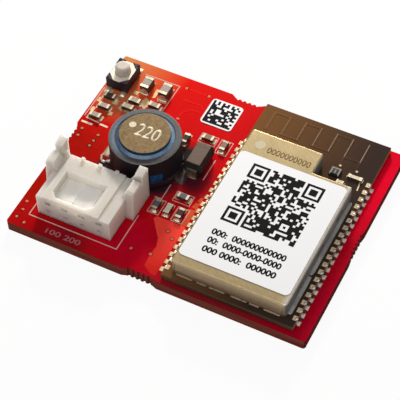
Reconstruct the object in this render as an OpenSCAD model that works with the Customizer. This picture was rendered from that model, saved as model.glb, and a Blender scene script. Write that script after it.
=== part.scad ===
// Wireless control module: a castellated radio board soldered to a red carrier board,
// with a step-down supply, a four-way connector and a push switch beside it.
// The origin is under the middle of the carrier board, +X along the connector, +Y towards the antenna.

/* [Carrier board] */
// Thickness of the carrier board
board_t = 1.6; // [1:0.1:2.4]
// Radius of the board's corners
board_corner_r = 0.4; // [0.3:0.1:2]
// Board left free on the right of the radio module
edge_right = 2; // [1.4:0.1:6]
// Board left free in front of the radio module
edge_front = 0.75; // [0.3:0.05:3]
// Board left free behind the radio module
edge_back = 0.25; // [0:0.05:5]
// Length of each breakaway notch in the edges
notch_l = 5; // [3.5:0.1:7]
// Depth of the breakaway notch in the front edge
notch_front = 0.25; // [0.1:0.05:0.6]
// Depth of the breakaway notch in the back edge
notch_back = 0.45; // [0.1:0.05:0.6]
// Depth of the breakaway notch in the left edge
notch_left = 0.35; // [0.1:0.05:0.6]
// Depth of the breakaway notch in the right edge
notch_right = 0.1; // [0.1:0.05:0.6]
// Length of the sloping ends of a notch
notch_slope = 0.7; // [0.3:0.05:1]
// Radius of the bite holes in a notch
bite_r = 0.2; // [0.1:0.05:0.35]
// Bite holes in each notch
bite_count = 5; // [3:1:5]
// Thickness of the copper lands
land_t = 0.05; // [0.03:0.01:0.1]
// How far a land reaches out past the foot it carries
land_margin = 0.3; // [0.1:0.05:0.4]

/* [Radio module] */
// Width of the radio module's board
module_w = 18; // [16:0.5:24]
// Thickness of the radio module's board
module_t = 0.8; // [0.6:0.1:1.2]
// Pitch of the edge contacts
pin_pitch = 1.27; // [1.1:0.01:1.4]
// First edge contact, from the module's front edge
pin_first = 1.35; // [1:0.05:2.5]
// Radius of the half holes in the edges
castellation_r = 0.25; // [0.2:0.05:0.3]
// Length of an edge contact's pad, along the edge
pad_w = 0.7; // [0.65:0.05:0.95]
// Reach of an edge contact's pad, from the edge inwards
pad_l = 0.55; // [0.45:0.05:0.8]
// Thickness of the plated pads and traces
plating_t = 0.04; // [0.03:0.01:0.08]
// Solder film under the module
solder_film = 0.05; // [0.03:0.01:0.1]
// Reach of a solder fillet, out from the module's left edge
fillet_left = 0.7; // [0.4:0.05:1]
// Reach of a solder fillet, out from the module's right edge
fillet_right = 0.35; // [0.3:0.05:1]
// Height of a solder fillet on the module's edge
fillet_h = 0.55; // [0.3:0.05:0.7]
// Width of the antenna's trace
antenna_trace_w = 0.4; // [0.2:0.05:0.8]
// Pitch of the antenna's upright lines
antenna_pitch = 2.28; // [1.8:0.02:2.4]
// Upright lines in the antenna
antenna_lines = 7; // [5:2:7]
// First upright line, from the module's left edge
antenna_first = 1.4; // [0.8:0.1:2]
// Length of the antenna's end, from the can to the module's back edge
antenna_l = 6.6; // [5.5:0.1:9]
// Gap from the can to the antenna's loops
antenna_foot = 2.3; // [1.2:0.1:3]
// Antenna left free at the module's back edge
antenna_edge = 0.7; // [0.4:0.1:1.5]

/* [Shield can] */
// Length of the whole can
can_l = 23.9; // [23:0.1:25]
// Step between the can's wide part and its back
can_step = 3.5; // [3:0.1:4]
// Width of the can's narrow back part
can_narrow_w = 10.2; // [8:0.1:12]
// Height of the can above the module's board
can_h = 2.4; // [2:0.1:4]
// Sheet thickness of the can
can_wall = 0.2; // [0.15:0.05:0.3]
// Radius of the can's upper edges
can_edge_r = 0.25; // [0.2:0.05:0.6]
// Radius of the can's upright corners
can_corner_r = 0.6; // [0.4:0.05:1]
// Can's left wall, from the module's left edge
can_left = 0.95; // [0.9:0.05:1.2]
// Can's right wall, from the module's right edge
can_right = 1.3; // [1:0.05:1.6]
// Can's front wall, from the module's front edge
can_front = 0.9; // [0.4:0.05:1.5]
// Fold lines in the can's end walls, from its sides
fold_in = 0.55; // [0.4:0.05:1]
// Width of a fold line
fold_w = 0.08; // [0.05:0.01:0.15]
// Depth of a fold line
fold_d = 0.1; // [0.05:0.01:0.12]
// Length of a solder seam at the can's foot
seam_l = 1.3; // [1:0.1:2.4]
// Space between the solder seams
seam_gap = 1.1; // [0.3:0.05:1.5]
// Width and height of a solder seam
seam_w = 0.15; // [0.1:0.05:0.35]
// Width of a latch window in the can's long walls
latch_w = 2.2; // [1:0.1:3]
// Height of a latch window
latch_h = 0.6; // [0.3:0.1:1]

/* [Parts under the can] */
// Side of the processor
processor_w = 6; // [5:0.5:7]
// Height of the processor
processor_h = 0.9; // [0.6:0.1:1.2]
// Width of the two memory chips
memory_w = 5; // [4:0.1:6]
// Length of the two memory chips
memory_l = 6; // [5:0.1:7]
// Height of the two memory chips
memory_h = 0.8; // [0.6:0.1:1.2]
// Length of the clock crystal
crystal_l = 2.5; // [2:0.1:3.2]
// Width of the clock crystal
crystal_w = 2; // [1.6:0.1:2.5]
// Height of the clock crystal
crystal_h = 0.6; // [0.4:0.1:0.9]
// Length of the smallest chips
tiny_l = 1; // [0.8:0.05:1.2]
// Width of the smallest chips
tiny_w = 0.5; // [0.4:0.05:0.6]
// Height of the smallest chips
tiny_h = 0.35; // [0.25:0.05:0.5]
// Side of the square filter by the antenna's feed
filter_w = 1.4; // [0.8:0.05:1.5]
// Height of that filter
filter_h = 0.4; // [0.3:0.05:0.6]
// Length of the link chip by the antenna's feed
link_l = 2; // [1.6:0.1:2.2]
// Width of the link chip
link_w = 0.6; // [0.5:0.05:0.8]
// Room kept between parts under the can
under_can_gap = 1; // [0.5:0.1:1.2]

/* [Labels] */
// Thickness of the two labels
label_t = 0.08; // [0.05:0.01:0.15]
// Length of the label on the can
label_l = 18.4; // [14:0.1:18.8]
// Front of the label, from the can's front wall
label_front = 1.4; // [0.6:0.1:2]
// Corner radius of the label on the can
label_r = 0.7; // [0.2:0.1:1.5]
// Can left free on the left of its label, inside the rounded edge
label_left = 0; // [0:0.01:1]
// Can left free on the right of its label, inside the rounded edge
label_right = 0.15; // [0:0.01:1]
// Side of the square code label
code_w = 4.6; // [3:0.1:5.5]
// Corner radius of the code label
code_r = 0.5; // [0.2:0.1:1]

/* [Connector] */
// Pitch of the contacts
conn_pitch = 2.5; // [2.3:0.05:2.8]
// Ways
conn_ways = 4; // [4:1:5]
// Outer contact to the side of the connector's box
conn_side = 1.55; // [1.4:0.05:2]
// Depth of the connector's box
conn_box_d = 7.7; // [7.2:0.1:8.5]
// Height of the connector's box
conn_box_h = 3.8; // [3.4:0.1:4.4]
// Connector's front face, from the board's front edge
conn_front = 3.1; // [2:0.1:4]
// Board left free at the left of the connector
conn_left = 1.95; // [1.2:0.05:4]
// Front wall of the pocket
pocket_wall = 0.6; // [0.4:0.05:0.8]
// Length of the pocket
pocket_l = 4.5; // [4:0.1:4.8]
// Pocket's left side, from the box's left side
pocket_left = 1.75; // [1.3:0.05:2]
// Pocket's right side, from the box's right side
pocket_right = 2.85; // [1.3:0.05:3]
// Floor of the pocket above the board
pocket_floor = 2.4; // [1.6:0.05:2.5]
// Chamfer of the pocket's two front corners
pocket_chamfer = 0.9; // [0.4:0.1:1.2]
// Width of the keying ramp at the pocket's right side
key_w = 0.4; // [0.2:0.1:2]
// Height of the keying ramp at the wall
key_h = 1; // [0.6:0.1:1.2]
// Lowered shoulder of the box's top at its left side
shoulder_left = 0.9; // [0.4:0.05:1.2]
// Lowered shoulder of the box's top at its right side
shoulder_right = 1.6; // [0.4:0.05:2]
// How far the shoulders lie below the rim
shoulder_drop = 0.3; // [0.1:0.05:0.5]
// Height of the ridges on the pocket's floor
ridge_h = 0.15; // [0.1:0.05:0.3]
// Width of the windows in the pocket's front wall
window_w = 0.9; // [0.6:0.05:1.2]
// Height of those windows
window_h = 0.6; // [0.4:0.05:0.8]
// Middle of those windows above the board
window_z = 2.5; // [2.4:0.05:2.7]
// Thickness of an ear beside the box
ear_t = 1.1; // [0.8:0.05:1.4]
// Front of an ear, from the box's front face
ear_front = 4.1; // [3.6:0.1:4.6]
// How far an ear reaches past the back of the box
ear_back = 1; // [0.8:0.1:1.4]
// Height of an ear's front hump
hump_front_h = 4.9; // [4.5:0.1:5.5]
// Height of an ear's back hump
hump_back_h = 5.75; // [5:0.05:6]
// Depth of an ear's back hump
hump_back_d = 1.5; // [1:0.05:1.8]
// Fall of the back hump's top towards the nick
hump_fall = 0.35; // [0:0.05:0.6]
// Width of the nick between the humps
hump_nick_w = 0.5; // [0.4:0.05:1]
// Depth of that nick below the front hump
hump_nick_d = 0.8; // [0.4:0.05:1]
// Lean of the front hump's front face
hump_lean = 0.5; // [0:0.05:0.8]
// Root of the front hump on the top of the box
hump_root = 0.6; // [0.4:0.1:1]
// Root of the back hump on the top of the box
back_root = 1; // [0.4:0.1:1.4]
// Height of the ribs between the contacts at the back, above the box
rib_h = 0.4; // [0.2:0.05:0.6]
// Width of those ribs
rib_w = 0.45; // [0.3:0.05:0.8]
// Width of a contact
contact_w = 0.64; // [0.5:0.02:0.8]
// Thickness of a contact
contact_t = 0.3; // [0.2:0.02:0.4]
// Underside of a contact inside the box, above the board
contact_z = 0.85; // [0.7:0.05:0.95]
// Front end of a contact, from the box's front face
contact_front = 0.3; // [0.1:0.05:0.6]
// Length of a contact's foot behind the box
foot_l = 0.7; // [0.5:0.05:0.8]
// Depth of the slots for the contacts in the back of the box
back_slot = 0.9; // [0.6:0.05:1.2]
// Radius of a locating peg
peg_r = 0.5; // [0.4:0.05:0.7]
// Length of a locating peg below the box
peg_l = 1.2; // [0.8:0.1:1.4]
// Pegs, from the box's front face
peg_y = 2.4; // [1.5:0.1:3]

/* [Push switch] */
// Switch body across
switch_w = 3.2; // [2.8:0.1:3.6]
// Switch body along
switch_d = 4.1; // [3.6:0.1:4.5]
// Height of the moulded body
switch_h = 1.5; // [1.2:0.05:1.8]
// Middle of the switch, from the board's left edge
switch_left = 2.05; // [1.9:0.05:2.4]
// Middle of the switch, from the board's back edge
switch_back = 4.25; // [3.4:0.05:4.6]
// Sheet thickness of the switch's cover
cover_t = 0.15; // [0.1:0.01:0.2]
// Cover's edge, from the body's sides
cover_inset = 0.1; // [0.05:0.05:0.2]
// Corners cut from the cover
cover_cut = 0.95; // [0.6:0.05:1.1]
// Staked corner posts stand above the cover
post_rise = 0.08; // [0.03:0.01:0.15]
// Radius of the button's stem
button_r = 1.05; // [0.8:0.05:1.15]
// Height of the button above the cover
button_h = 1.25; // [0.8:0.05:1.6]
// Rounding of the button's crown
button_round = 0.45; // [0.1:0.05:0.6]
// Rim that keeps the button under the cover
button_rim = 0.15; // [0.1:0.01:0.2]
// Height of that rim
button_rim_h = 0.22; // [0.15:0.01:0.3]
// Travel of the button
button_travel = 0.25; // [0.15:0.05:0.3]
// Depth of the well under the cover
well_d = 0.8; // [0.75:0.05:0.9]
// Sheet thickness of the spring dome
dome_t = 0.06; // [0.04:0.01:0.08]
// Rise of the spring dome
dome_h = 0.3; // [0.26:0.01:0.34]
// Thickness of the switch's feet
switch_foot_t = 0.15; // [0.1:0.01:0.2]
// Width of the switch's feet
switch_foot_w = 0.6; // [0.4:0.05:0.8]
// Reach of the switch's feet past the body
switch_foot_l = 0.5; // [0.3:0.05:0.8]

/* [Inductor] */
// Radius of the inductor's shield ring
ring_r = 4.8; // [4.2:0.05:5.3]
// Wall of the shield ring
ring_wall = 0.9; // [0.7:0.05:1.1]
// Height of the inductor above its lands
inductor_h = 5.9; // [5:0.05:6.8]
// Core stands above the shield ring
core_proud = 0.6; // [0.2:0.05:0.65]
// Chamfers at the ring's upper edges
ring_chamfer = 0.15; // [0.05:0.05:0.3]
// Width of the wire gates in the ring
gate_w = 1.8; // [1:0.1:2.2]
// Height of the wire gates
gate_h = 1.7; // [1:0.1:2]
// Width of the glue joint between the ring and the core
glue_w = 0.5; // [0.3:0.05:0.6]
// Glue joint below the ring's top
glue_drop = 0.12; // [0.05:0.01:0.2]
// Glue climbs the core's side
glue_rise = 0.2; // [0.05:0.05:0.3]
// Depth of the glue joint
glue_h = 0.4; // [0.2:0.05:0.6]
// Base set back from the ring
base_set = 0.15; // [0.05:0.05:0.4]
// Thickness of the base
base_h = 1; // [0.7:0.05:1.3]
// Thickness of the core's flanges
flange_h = 0.9; // [0.7:0.05:1.1]
// Radius of the core's hub
hub_r = 1.9; // [1.4:0.05:2.2]
// Winding set back from the core's rim
winding_back = 0.15; // [0.05:0.05:0.4]
// Sheet thickness of the terminals
clip_t = 0.15; // [0.1:0.01:0.25]
// Width of the terminals
clip_w = 2.6; // [1.8:0.1:3.4]
// Reach of the terminals under the base
clip_l = 1.6; // [1:0.1:2.4]
// Middle of the inductor, from the connector's right side
inductor_inset = 2.95; // [2.8:0.05:3.6]

/* [Diode] */
// Diode body across
diode_w = 2.6; // [2.2:0.1:3]
// Diode body along
diode_d = 4.3; // [3.8:0.1:4.6]
// Height of the diode
diode_h = 2.2; // [1.8:0.1:2.6]
// Draft of the diode's sides
diode_draft = 0.3; // [0.1:0.05:0.4]
// Width of the diode's leads
diode_lead_w = 1.45; // [1.2:0.05:1.8]
// Thickness of the diode's leads
diode_lead_t = 0.2; // [0.15:0.01:0.3]
// Reach of the diode's leads under the body
diode_lead_l = 1; // [0.8:0.05:1.4]
// Middle of the diode, behind the middle of the inductor
diode_behind = 2.7; // [2.4:0.1:3.2]

/* [Regulator] */
// Regulator body across
regulator_w = 2.9; // [2.6:0.1:3.2]
// Regulator body along
regulator_d = 1.6; // [1.4:0.1:1.8]
// Height of the regulator's body
regulator_h = 1.1; // [0.9:0.05:1.3]
// Pitch of the regulator's leads
regulator_pitch = 0.95; // [0.8:0.05:1]
// Width of the regulator's leads
regulator_lead_w = 0.4; // [0.3:0.05:0.5]
// Thickness of the regulator's leads
regulator_lead_t = 0.15; // [0.1:0.01:0.2]
// Reach of the regulator's leads past the body
regulator_lead_l = 0.6; // [0.4:0.05:0.8]

/* [Chip parts] */
// Length of a small chip
chip_l = 1.6; // [1.4:0.1:1.8]
// Width of a small chip
chip_w = 0.8; // [0.6:0.05:1]
// Height of a small chip
chip_h = 0.6; // [0.4:0.05:0.9]
// Length of a large capacitor
big_l = 2; // [1.8:0.1:3.2]
// Width of a large capacitor
big_w = 1.25; // [1.1:0.05:1.6]
// Height of a large capacitor
big_h = 1.25; // [0.9:0.05:1.6]
// Share of a chip's length that one plated end covers
end_share = 0.22; // [0.15:0.01:0.3]
// Plated end stands proud of the body
end_proud = 0.03; // [0.02:0.01:0.05]
// Gap from the switch to the first large capacitor
big_gap = 1.4; // [0.5:0.05:1.6]
// Gap between the two large capacitors
big_space = 1.6; // [0.8:0.1:2.5]
// Middle of the large capacitors, from the board's back edge
big_back = 4.1; // [2.6:0.05:5]
// Gap from the switch and the large capacitors to the chips in front of them
small_gap = 1.3; // [0.9:0.05:1.6]
// Gap between the following rows of small chips
small_space = 1; // [0.6:0.05:1.2]
// Gap from the diode to the chips behind it
diode_clear = 1.55; // [1:0.05:2.5]
// Gap from those chips to the code label
code_gap = 2; // [1:0.1:4]
// Gap from the connector to the row of chips
row_gap = 1.25; // [0.9:0.05:2]
// Pitch of that row
row_pitch = 1.7; // [1.4:0.1:2.2]
// Gap from that row to the radio module
row_to_module = 1.95; // [1.6:0.05:3]
// Middle of that row, from the board's front edge
row_front = 10.6; // [9:0.1:11]

/* [Fits] */
// Clearance of a pin or button in its hole
slide_gap = 0.05; // [0.03:0.01:0.08]
// Clearance round a part that is pressed or glued in
seat_gap = 0.02; // [0.01:0.005:0.04]
// Space kept between neighbouring parts on the board
part_gap = 0.15; // [0.1:0.05:0.3]

/* [Hidden] */
$fn = 48;

// Connector across the board
conn_box_w = (conn_ways - 1) * conn_pitch + 2 * conn_side;
conn_x = conn_left + ear_t;
conn_right = conn_x + conn_box_w + ear_t;
conn_d = conn_box_d + ear_back;
function contact_x(way) = conn_side + way * conn_pitch;

// Inductor, diode and regulator, each set off from its neighbour
inductor_x = conn_right - inductor_inset;
base_r = ring_r - base_set;
inductor_y = conn_front + conn_box_d + max(foot_l, ear_back) + part_gap + base_r;
diode_x = inductor_x + max(ring_r, base_r + clip_t) + 2 * part_gap + diode_w / 2;
diode_y = inductor_y + diode_behind;
diode_back = diode_y + diode_d / 2 + diode_lead_t;
regulator_x = inductor_x - 0.9;
regulator_y = inductor_y + ring_r + 2 * part_gap + regulator_lead_l + regulator_d / 2;

// Radio module, to the right of the row of chips
row_x = conn_right + row_gap + chip_w / 2;
module_x = row_x + 2 * row_pitch + chip_w / 2 + row_to_module;
module_y = edge_front;
module_l = can_front + can_l + antenna_l;
module_z = land_t + solder_film;
pin_count = floor((can_front + can_l - pin_first - pad_w / 2) / pin_pitch) + 1;
module_top = module_z + module_t;

// Chips behind the diode, and the code label behind those
behind_diode = diode_back + diode_clear + chip_w / 2;
code_x = diode_x - diode_w / 2 + 0.2;
code_y = behind_diode + chip_w / 2 + code_gap + code_w / 2;
code_edge = 1.5;

// Board, as deep as the longer of its two halves
board_w = module_x + module_w + edge_right;
board_d = max(edge_front + module_l + edge_back, code_y + code_w / 2 + code_edge);
notch_x = 0.457 * board_w;

// Can, in the module's own frame
can_w = module_w - can_left - can_right;
can_wide_l = can_l - can_step;
label_w = can_w - 2 * can_edge_r - label_left - label_right;

// Switch, upwards from its feet
switch_x = switch_left;
switch_y = board_d - switch_back;
switch_z = land_t + switch_foot_t;
cover_z = switch_z + switch_h;
well_z = cover_z - well_d;
rim_r = button_r + button_rim;
well_r = rim_r + 2 * slide_gap;
rim_top = cover_z - slide_gap;
stem_foot = well_z + dome_h + slide_gap;
button_top = cover_z + cover_t + button_h;

// Inductor, upwards from its lands
base_z = land_t + clip_t;
core_z = base_z + base_h;
inductor_top = land_t + inductor_h;
ring_top = inductor_top - core_proud;
core_r = ring_r - ring_wall - glue_w;
gate_turns = [-45, 135];

// Large capacitors beside the switch, and small chips in front of them
input_x = switch_x + switch_w / 2 + big_gap + big_w / 2;
output_x = input_x + big_w + big_space;
big_y = board_d - big_back;
pull_y = switch_y - switch_d / 2 - switch_foot_l - small_gap + chip_w / 4;
bypass_y = big_y - big_l / 2 - small_gap - chip_w / 2;
feedback_y = bypass_y - chip_w - small_space;
column_step = chip_w + small_space + part_gap;

// Names of the chips with their kind, place on the board and turn
chips = [
    ["input_capacitor", "big", input_x, big_y, 90],
    ["output_capacitor", "big", output_x, big_y, 90],
    ["pull_up_resistor", "small", switch_x - part_gap, pull_y, 0],
    ["reset_resistor", "small", switch_x, pull_y - column_step, 0],
    ["reset_capacitor", "small", switch_x - 2 * part_gap, pull_y - 2 * column_step, 0],
    ["bypass_capacitor_1", "small", input_x - big_w / 4, bypass_y - chip_w / 2, 0],
    ["bypass_capacitor_2", "small", output_x - big_w / 4, bypass_y, 0],
    ["feedback_resistor", "small", input_x - big_w / 2, feedback_y, 0],
    ["boost_capacitor", "small", inductor_x + 0.61 * ring_r, inductor_y + ring_r + chip_l / 2, 90],
    ["ripple_capacitor", "small", diode_x - chip_l / 2, behind_diode, 0],
    ["divider_resistor", "small", diode_x + diode_w / 2 + chip_w / 2, behind_diode - chip_w / 2, 90],
    ["series_resistor", "small", row_x + 1.5 * row_pitch, row_front + chip_l + small_space, 0],
    ["strap_resistor_1", "small", row_x, row_front, 90],
    ["module_capacitor", "small", row_x + row_pitch, row_front, 90],
    ["strap_resistor_2", "small", row_x + 2 * row_pitch, row_front, 90],
];

// Places what follows on the board's top, from its front left corner
module on_board(x, y, z = 0) {
    translate([x - board_w / 2, y - board_d / 2, board_t + z]) children();
}

// Places what follows on the radio module's top, from its front left corner
module on_module(x, y, z = 0) {
    on_board(module_x + x, module_y + y, module_top + z) children();
}

module rounded(w, d, r) {
    translate([r, 0]) square([w - 2 * r, d]);
    translate([0, r]) square([w, d - 2 * r]);
    for (x = [r, w - r], y = [r, d - r]) translate([x, y]) circle(r);
}

module centred_box(w, d, h) {
    translate([-w / 2, -d / 2, 0]) cube([w, d, h]);
}

// Outline in the X-Z plane, drawn out along Y
module along_y(d) {
    translate([0, d, 0]) rotate([90, 0, 0]) linear_extrude(d) children();
}

// Outline in the Y-Z plane, drawn out along X
module along_x(w) {
    rotate([90, 0, 90]) linear_extrude(w) children();
}

// Carrier board

// Notch left by a broken tab: sloping ends and a row of bite holes along its floor
module breakaway_notch(depth) {
    floor_l = notch_l - 2 * notch_slope;
    bite_pitch = floor_l / bite_count;
    polygon([
        [-notch_l / 2 - notch_slope, -depth], [notch_l / 2 + notch_slope, -depth],
        [floor_l / 2, depth], [-floor_l / 2, depth]
    ]);
    for (i = [0:bite_count - 1]) {
        translate([(i - (bite_count - 1) / 2) * bite_pitch, depth]) circle(bite_r);
    }
}

module board_outline() {
    difference() {
        rounded(board_w, board_d, board_corner_r);
        translate([notch_x, 0]) breakaway_notch(notch_front);
        translate([notch_x, board_d]) mirror([0, 1]) breakaway_notch(notch_back);
        translate([0, board_d / 2]) rotate(-90) breakaway_notch(notch_left);
        translate([board_w, board_d / 2]) rotate(90) breakaway_notch(notch_right);
    }
}

module peg_places() {
    for (x = [conn_side / 2 + peg_r, conn_box_w - conn_side / 2 - peg_r]) {
        translate([x, peg_y, 0]) children();
    }
}

module carrier_board() {
    color("firebrick") on_board(0, 0, -board_t) difference() {
        linear_extrude(board_t) board_outline();
        translate([conn_x, conn_front, -1]) peg_places() cylinder(r = peg_r + slide_gap, h = board_t + 2);
    }
}

module land(w, d) {
    centred_box(w, d, land_t);
}

module chip_lands(l, w) {
    land_l = end_share * l + land_margin;
    for (side = [-1, 1]) {
        translate([side * (l / 2 + land_margin - land_l / 2), 0, 0]) land(land_l, w + land_margin / 2);
    }
}

module module_lands() {
    inner = pad_l + part_gap;
    left = fillet_left + land_margin / 3;
    right = fillet_right + land_margin / 3;
    for (i = [0:pin_count - 1]) {
        y = module_y + pin_first + i * pin_pitch;
        on_board(module_x + (inner - left) / 2, y) land(inner + left, pad_w);
        on_board(module_x + module_w - (inner - right) / 2, y) land(inner + right, pad_w);
    }
}

module contact_lands() {
    foot_d = foot_l + part_gap / 2;
    for (way = [0:conn_ways - 1]) {
        on_board(conn_x + contact_x(way), conn_front + conn_box_d + foot_d / 2) land(contact_w + land_margin, foot_d);
    }
}

module inductor_lands() {
    land_w = clip_l + clip_t + 4 * land_margin;
    for (side = [-1, 1]) {
        on_board(inductor_x + side * (base_r - clip_l + land_w / 2), inductor_y) land(land_w, clip_w + land_margin);
    }
}

module diode_lands() {
    for (side = [-1, 1]) {
        on_board(diode_x, diode_y + side * (diode_d / 2 + diode_lead_t - diode_lead_l / 2 + land_margin / 2)) {
            land(diode_lead_w + land_margin, diode_lead_l + land_margin);
        }
    }
}

module regulator_lands() {
    for (i = [-1, 0, 1], side = [-1, 1]) {
        on_board(regulator_x + i * regulator_pitch, regulator_y + side * (regulator_d / 2 + regulator_lead_l / 2)) {
            land(regulator_lead_w + land_margin / 3, regulator_lead_l + land_margin / 2);
        }
    }
}

module switch_foot_places() {
    for (x = [-1, 1], y = [-1, 1]) {
        translate([x * (switch_w / 2 - switch_foot_w / 2 - cover_t), y * (switch_d / 2), 0]) children();
    }
}

module carrier_lands() {
    color("goldenrod") {
        module_lands();
        contact_lands();
        inductor_lands();
        diode_lands();
        regulator_lands();
        on_board(switch_x, switch_y) switch_foot_places() land(switch_foot_w + land_margin / 2, 4 * switch_foot_l);
        for (c = chips) on_board(c[2], c[3]) rotate(c[4]) chip_lands(kind_l(c[1]), kind_w(c[1]));
    }
}

// Radio module

module pin_places(x) {
    for (i = [0:pin_count - 1]) translate([x, pin_first + i * pin_pitch, 0]) children();
}

module module_board() {
    color("#4a382c") on_board(module_x, module_y, module_z) difference() {
        cube([module_w, module_l, module_t]);
        for (x = [0, module_w]) translate([0, 0, -1]) pin_places(x) cylinder(r = castellation_r, h = module_t + 2);
    }
}

module edge_pad() {
    difference() {
        translate([0, -pad_w / 2, 0]) cube([pad_l, pad_w, plating_t]);
        translate([0, 0, -1]) cylinder(r = castellation_r, h = plating_t + 2);
    }
}

module module_pads() {
    color("gold") on_module(0, 0) {
        pin_places(0) edge_pad();
        pin_places(module_w) mirror([1, 0, 0]) edge_pad();
    }
}

// Solder of one edge contact: film, plug of the half hole and outer fillet
module edge_solder(reach) {
    plug_r = castellation_r - seat_gap;
    fillet_w = 0.8 * pad_w;
    translate([-reach, -fillet_w / 2, 0]) cube([reach + pad_l, fillet_w, solder_film]);
    intersection() {
        cylinder(r = plug_r, h = solder_film + fillet_h);
        translate([0, -plug_r, 0]) cube([plug_r, 2 * plug_r, solder_film + fillet_h]);
    }
    translate([-reach, -fillet_w / 2, 0]) along_y(fillet_w) {
        polygon([
            [0, 0], [reach, 0], [reach, solder_film + fillet_h],
            [0.65 * reach, solder_film + 0.5 * fillet_h], [0.3 * reach, solder_film + 0.2 * fillet_h]
        ]);
    }
}

module module_solder_left() {
    color("silver") on_board(module_x, module_y, land_t) pin_places(0) edge_solder(fillet_left);
}

module module_solder_right() {
    color("silver") on_board(module_x, module_y, land_t) {
        pin_places(module_w) mirror([1, 0, 0]) edge_solder(fillet_right);
    }
}

// Folded antenna: upright lines joined at alternate ends, the last two running on to the feed parts
module antenna_trace() {
    top = module_l - antenna_edge;
    bottom = can_front + can_l + antenna_foot;
    feed_end = can_front + can_l + 3 * part_gap;
    color("#6b5233") on_module(antenna_first, 0) {
        for (i = [0:antenna_lines - 1]) {
            low = i < antenna_lines - 2 ? bottom : feed_end;
            translate([i * antenna_pitch, low, 0]) cube([antenna_trace_w, top - low, plating_t]);
        }
        for (i = [0:antenna_lines - 2]) {
            joint_y = i % 2 == 0 ? top - antenna_trace_w : bottom;
            translate([i * antenna_pitch, joint_y, 0]) {
                cube([antenna_pitch + antenna_trace_w, antenna_trace_w, plating_t]);
            }
        }
    }
}

// Block with rounded upper edges and upright corners, inset on all sides but its foot
module soft_block(w, d, h, inset) {
    edge = can_edge_r - inset / 2;
    top = h - inset;
    translate([inset, inset, 0]) intersection() {
        linear_extrude(top) rounded(w - 2 * inset, d - 2 * inset, can_corner_r - inset / 2);
        along_x(w - 2 * inset) edge_profile(d - 2 * inset, top, edge);
        along_y(d - 2 * inset) edge_profile(w - 2 * inset, top, edge);
    }
}

module edge_profile(l, h, r) {
    square([l, h - r]);
    translate([r, 0]) square([l - 2 * r, h]);
    for (x = [r, l - r]) translate([x, h - r]) circle(r);
}

module can_form(inset) {
    soft_block(can_w, can_wide_l, can_h, inset);
    soft_block(can_narrow_w, can_l, can_h, inset);
}

module shield_can() {
    latch_places = [0.2, 0.5, 0.8];
    color("#c8b98c") on_module(can_left, can_front) difference() {
        can_form(0);
        translate([0, 0, -seat_gap]) can_form(can_wall);
        for (place = latch_places) {
            translate([can_w - 2 * can_wall, place * can_wide_l - latch_w / 2, 0.4 * can_h]) {
                cube([3 * can_wall, latch_w, latch_h]);
            }
            translate([-can_wall, place * can_wide_l - latch_w / 2, 0.4 * can_h]) {
                cube([3 * can_wall, latch_w, latch_h]);
            }
        }
        for (x = [fold_in, can_w - fold_in]) fold_line(x, 0);
        for (x = [fold_in, can_narrow_w - fold_in]) fold_line(x, can_l);
    }
}

// Upright line where the sheet of an end wall meets that of a side wall
module fold_line(x, y) {
    translate([x - fold_w / 2, y - fold_d, -1]) cube([fold_w, 2 * fold_d, can_h - 1.5 * can_edge_r + 1]);
}

// Row of solder seams in the corner between the module's board and an end wall
module seam_row(l) {
    count = floor((l - 2 * can_corner_r + seam_gap) / (seam_l + seam_gap));
    first = (l - count * seam_l - (count - 1) * seam_gap) / 2;
    for (i = [0:count - 1]) translate([first + i * (seam_l + seam_gap), 0, 0]) along_x(seam_l) {
        polygon([[0, 0], [0, seam_w], [-0.4 * seam_w, 0.4 * seam_w], [-seam_w, 0]]);
    }
}

module can_solder() {
    color("silver") on_module(can_left, can_front) {
        seam_row(can_w);
        translate([0, can_l, 0]) mirror([0, 1, 0]) seam_row(can_narrow_w);
    }
}

module module_label() {
    label_x = can_left + can_edge_r + label_left;
    color("white") on_module(label_x, can_front + label_front, can_h) {
        linear_extrude(label_t) rounded(label_w, label_l, label_r);
    }
}

module code_label() {
    color("white") on_board(code_x - code_w / 2, code_y - code_w / 2) {
        linear_extrude(label_t) rounded(code_w, code_w, code_r);
    }
}

// Parts under the can, from the can's inner front left corner

module under_can(x, y) {
    on_module(can_left + can_wall + x, can_front + can_wall + y) children();
}

module moulded_chip(w, d, h) {
    dot_r = 0.25;
    difference() {
        cube([w, d, h]);
        translate([2.5 * dot_r, d - 2.5 * dot_r, 0.9 * h]) cylinder(r = dot_r, h = h);
    }
}

module flash_chip() {
    color("#2a2a2c") under_can(under_can_gap, under_can_gap) moulded_chip(memory_w, memory_l, memory_h);
}

module memory_chip() {
    right_wall = can_w - 2 * can_wall;
    color("#2a2a2c") under_can(right_wall - under_can_gap - memory_w, under_can_gap) {
        moulded_chip(memory_w, memory_l, memory_h);
    }
}

module processor_chip() {
    color("#1f1f22") under_can((can_w - 2 * can_wall - processor_w) / 2, 2 * under_can_gap + memory_l) {
        moulded_chip(processor_w, processor_w, processor_h);
    }
}

module clock_crystal() {
    color("silver") under_can(under_can_gap, 3 * under_can_gap + memory_l + processor_w) {
        linear_extrude(crystal_h) rounded(crystal_l, crystal_w, 0.15 * crystal_w);
    }
}

module module_chips() {
    count = 5;
    first_x = 2 * under_can_gap + crystal_l;
    color("#8a7a66") for (i = [0:count - 1], row = [0, 1]) {
        under_can(first_x + i * 2 * tiny_w, 3 * under_can_gap + memory_l + processor_w + row * 1.5 * tiny_l) {
            cube([tiny_w, tiny_l, tiny_h]);
        }
    }
}

// Feed parts, in the corner that the can leaves free, measured from the can's back edge

module on_feed(x, y) {
    on_module(can_left + can_narrow_w + x, can_front + can_l - y) children();
}

module feed_filter() {
    color("#5a5650") on_feed(filter_w / 2 + 1.2, filter_w / 2 - part_gap) centred_box(filter_w, filter_w, filter_h);
}

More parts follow.
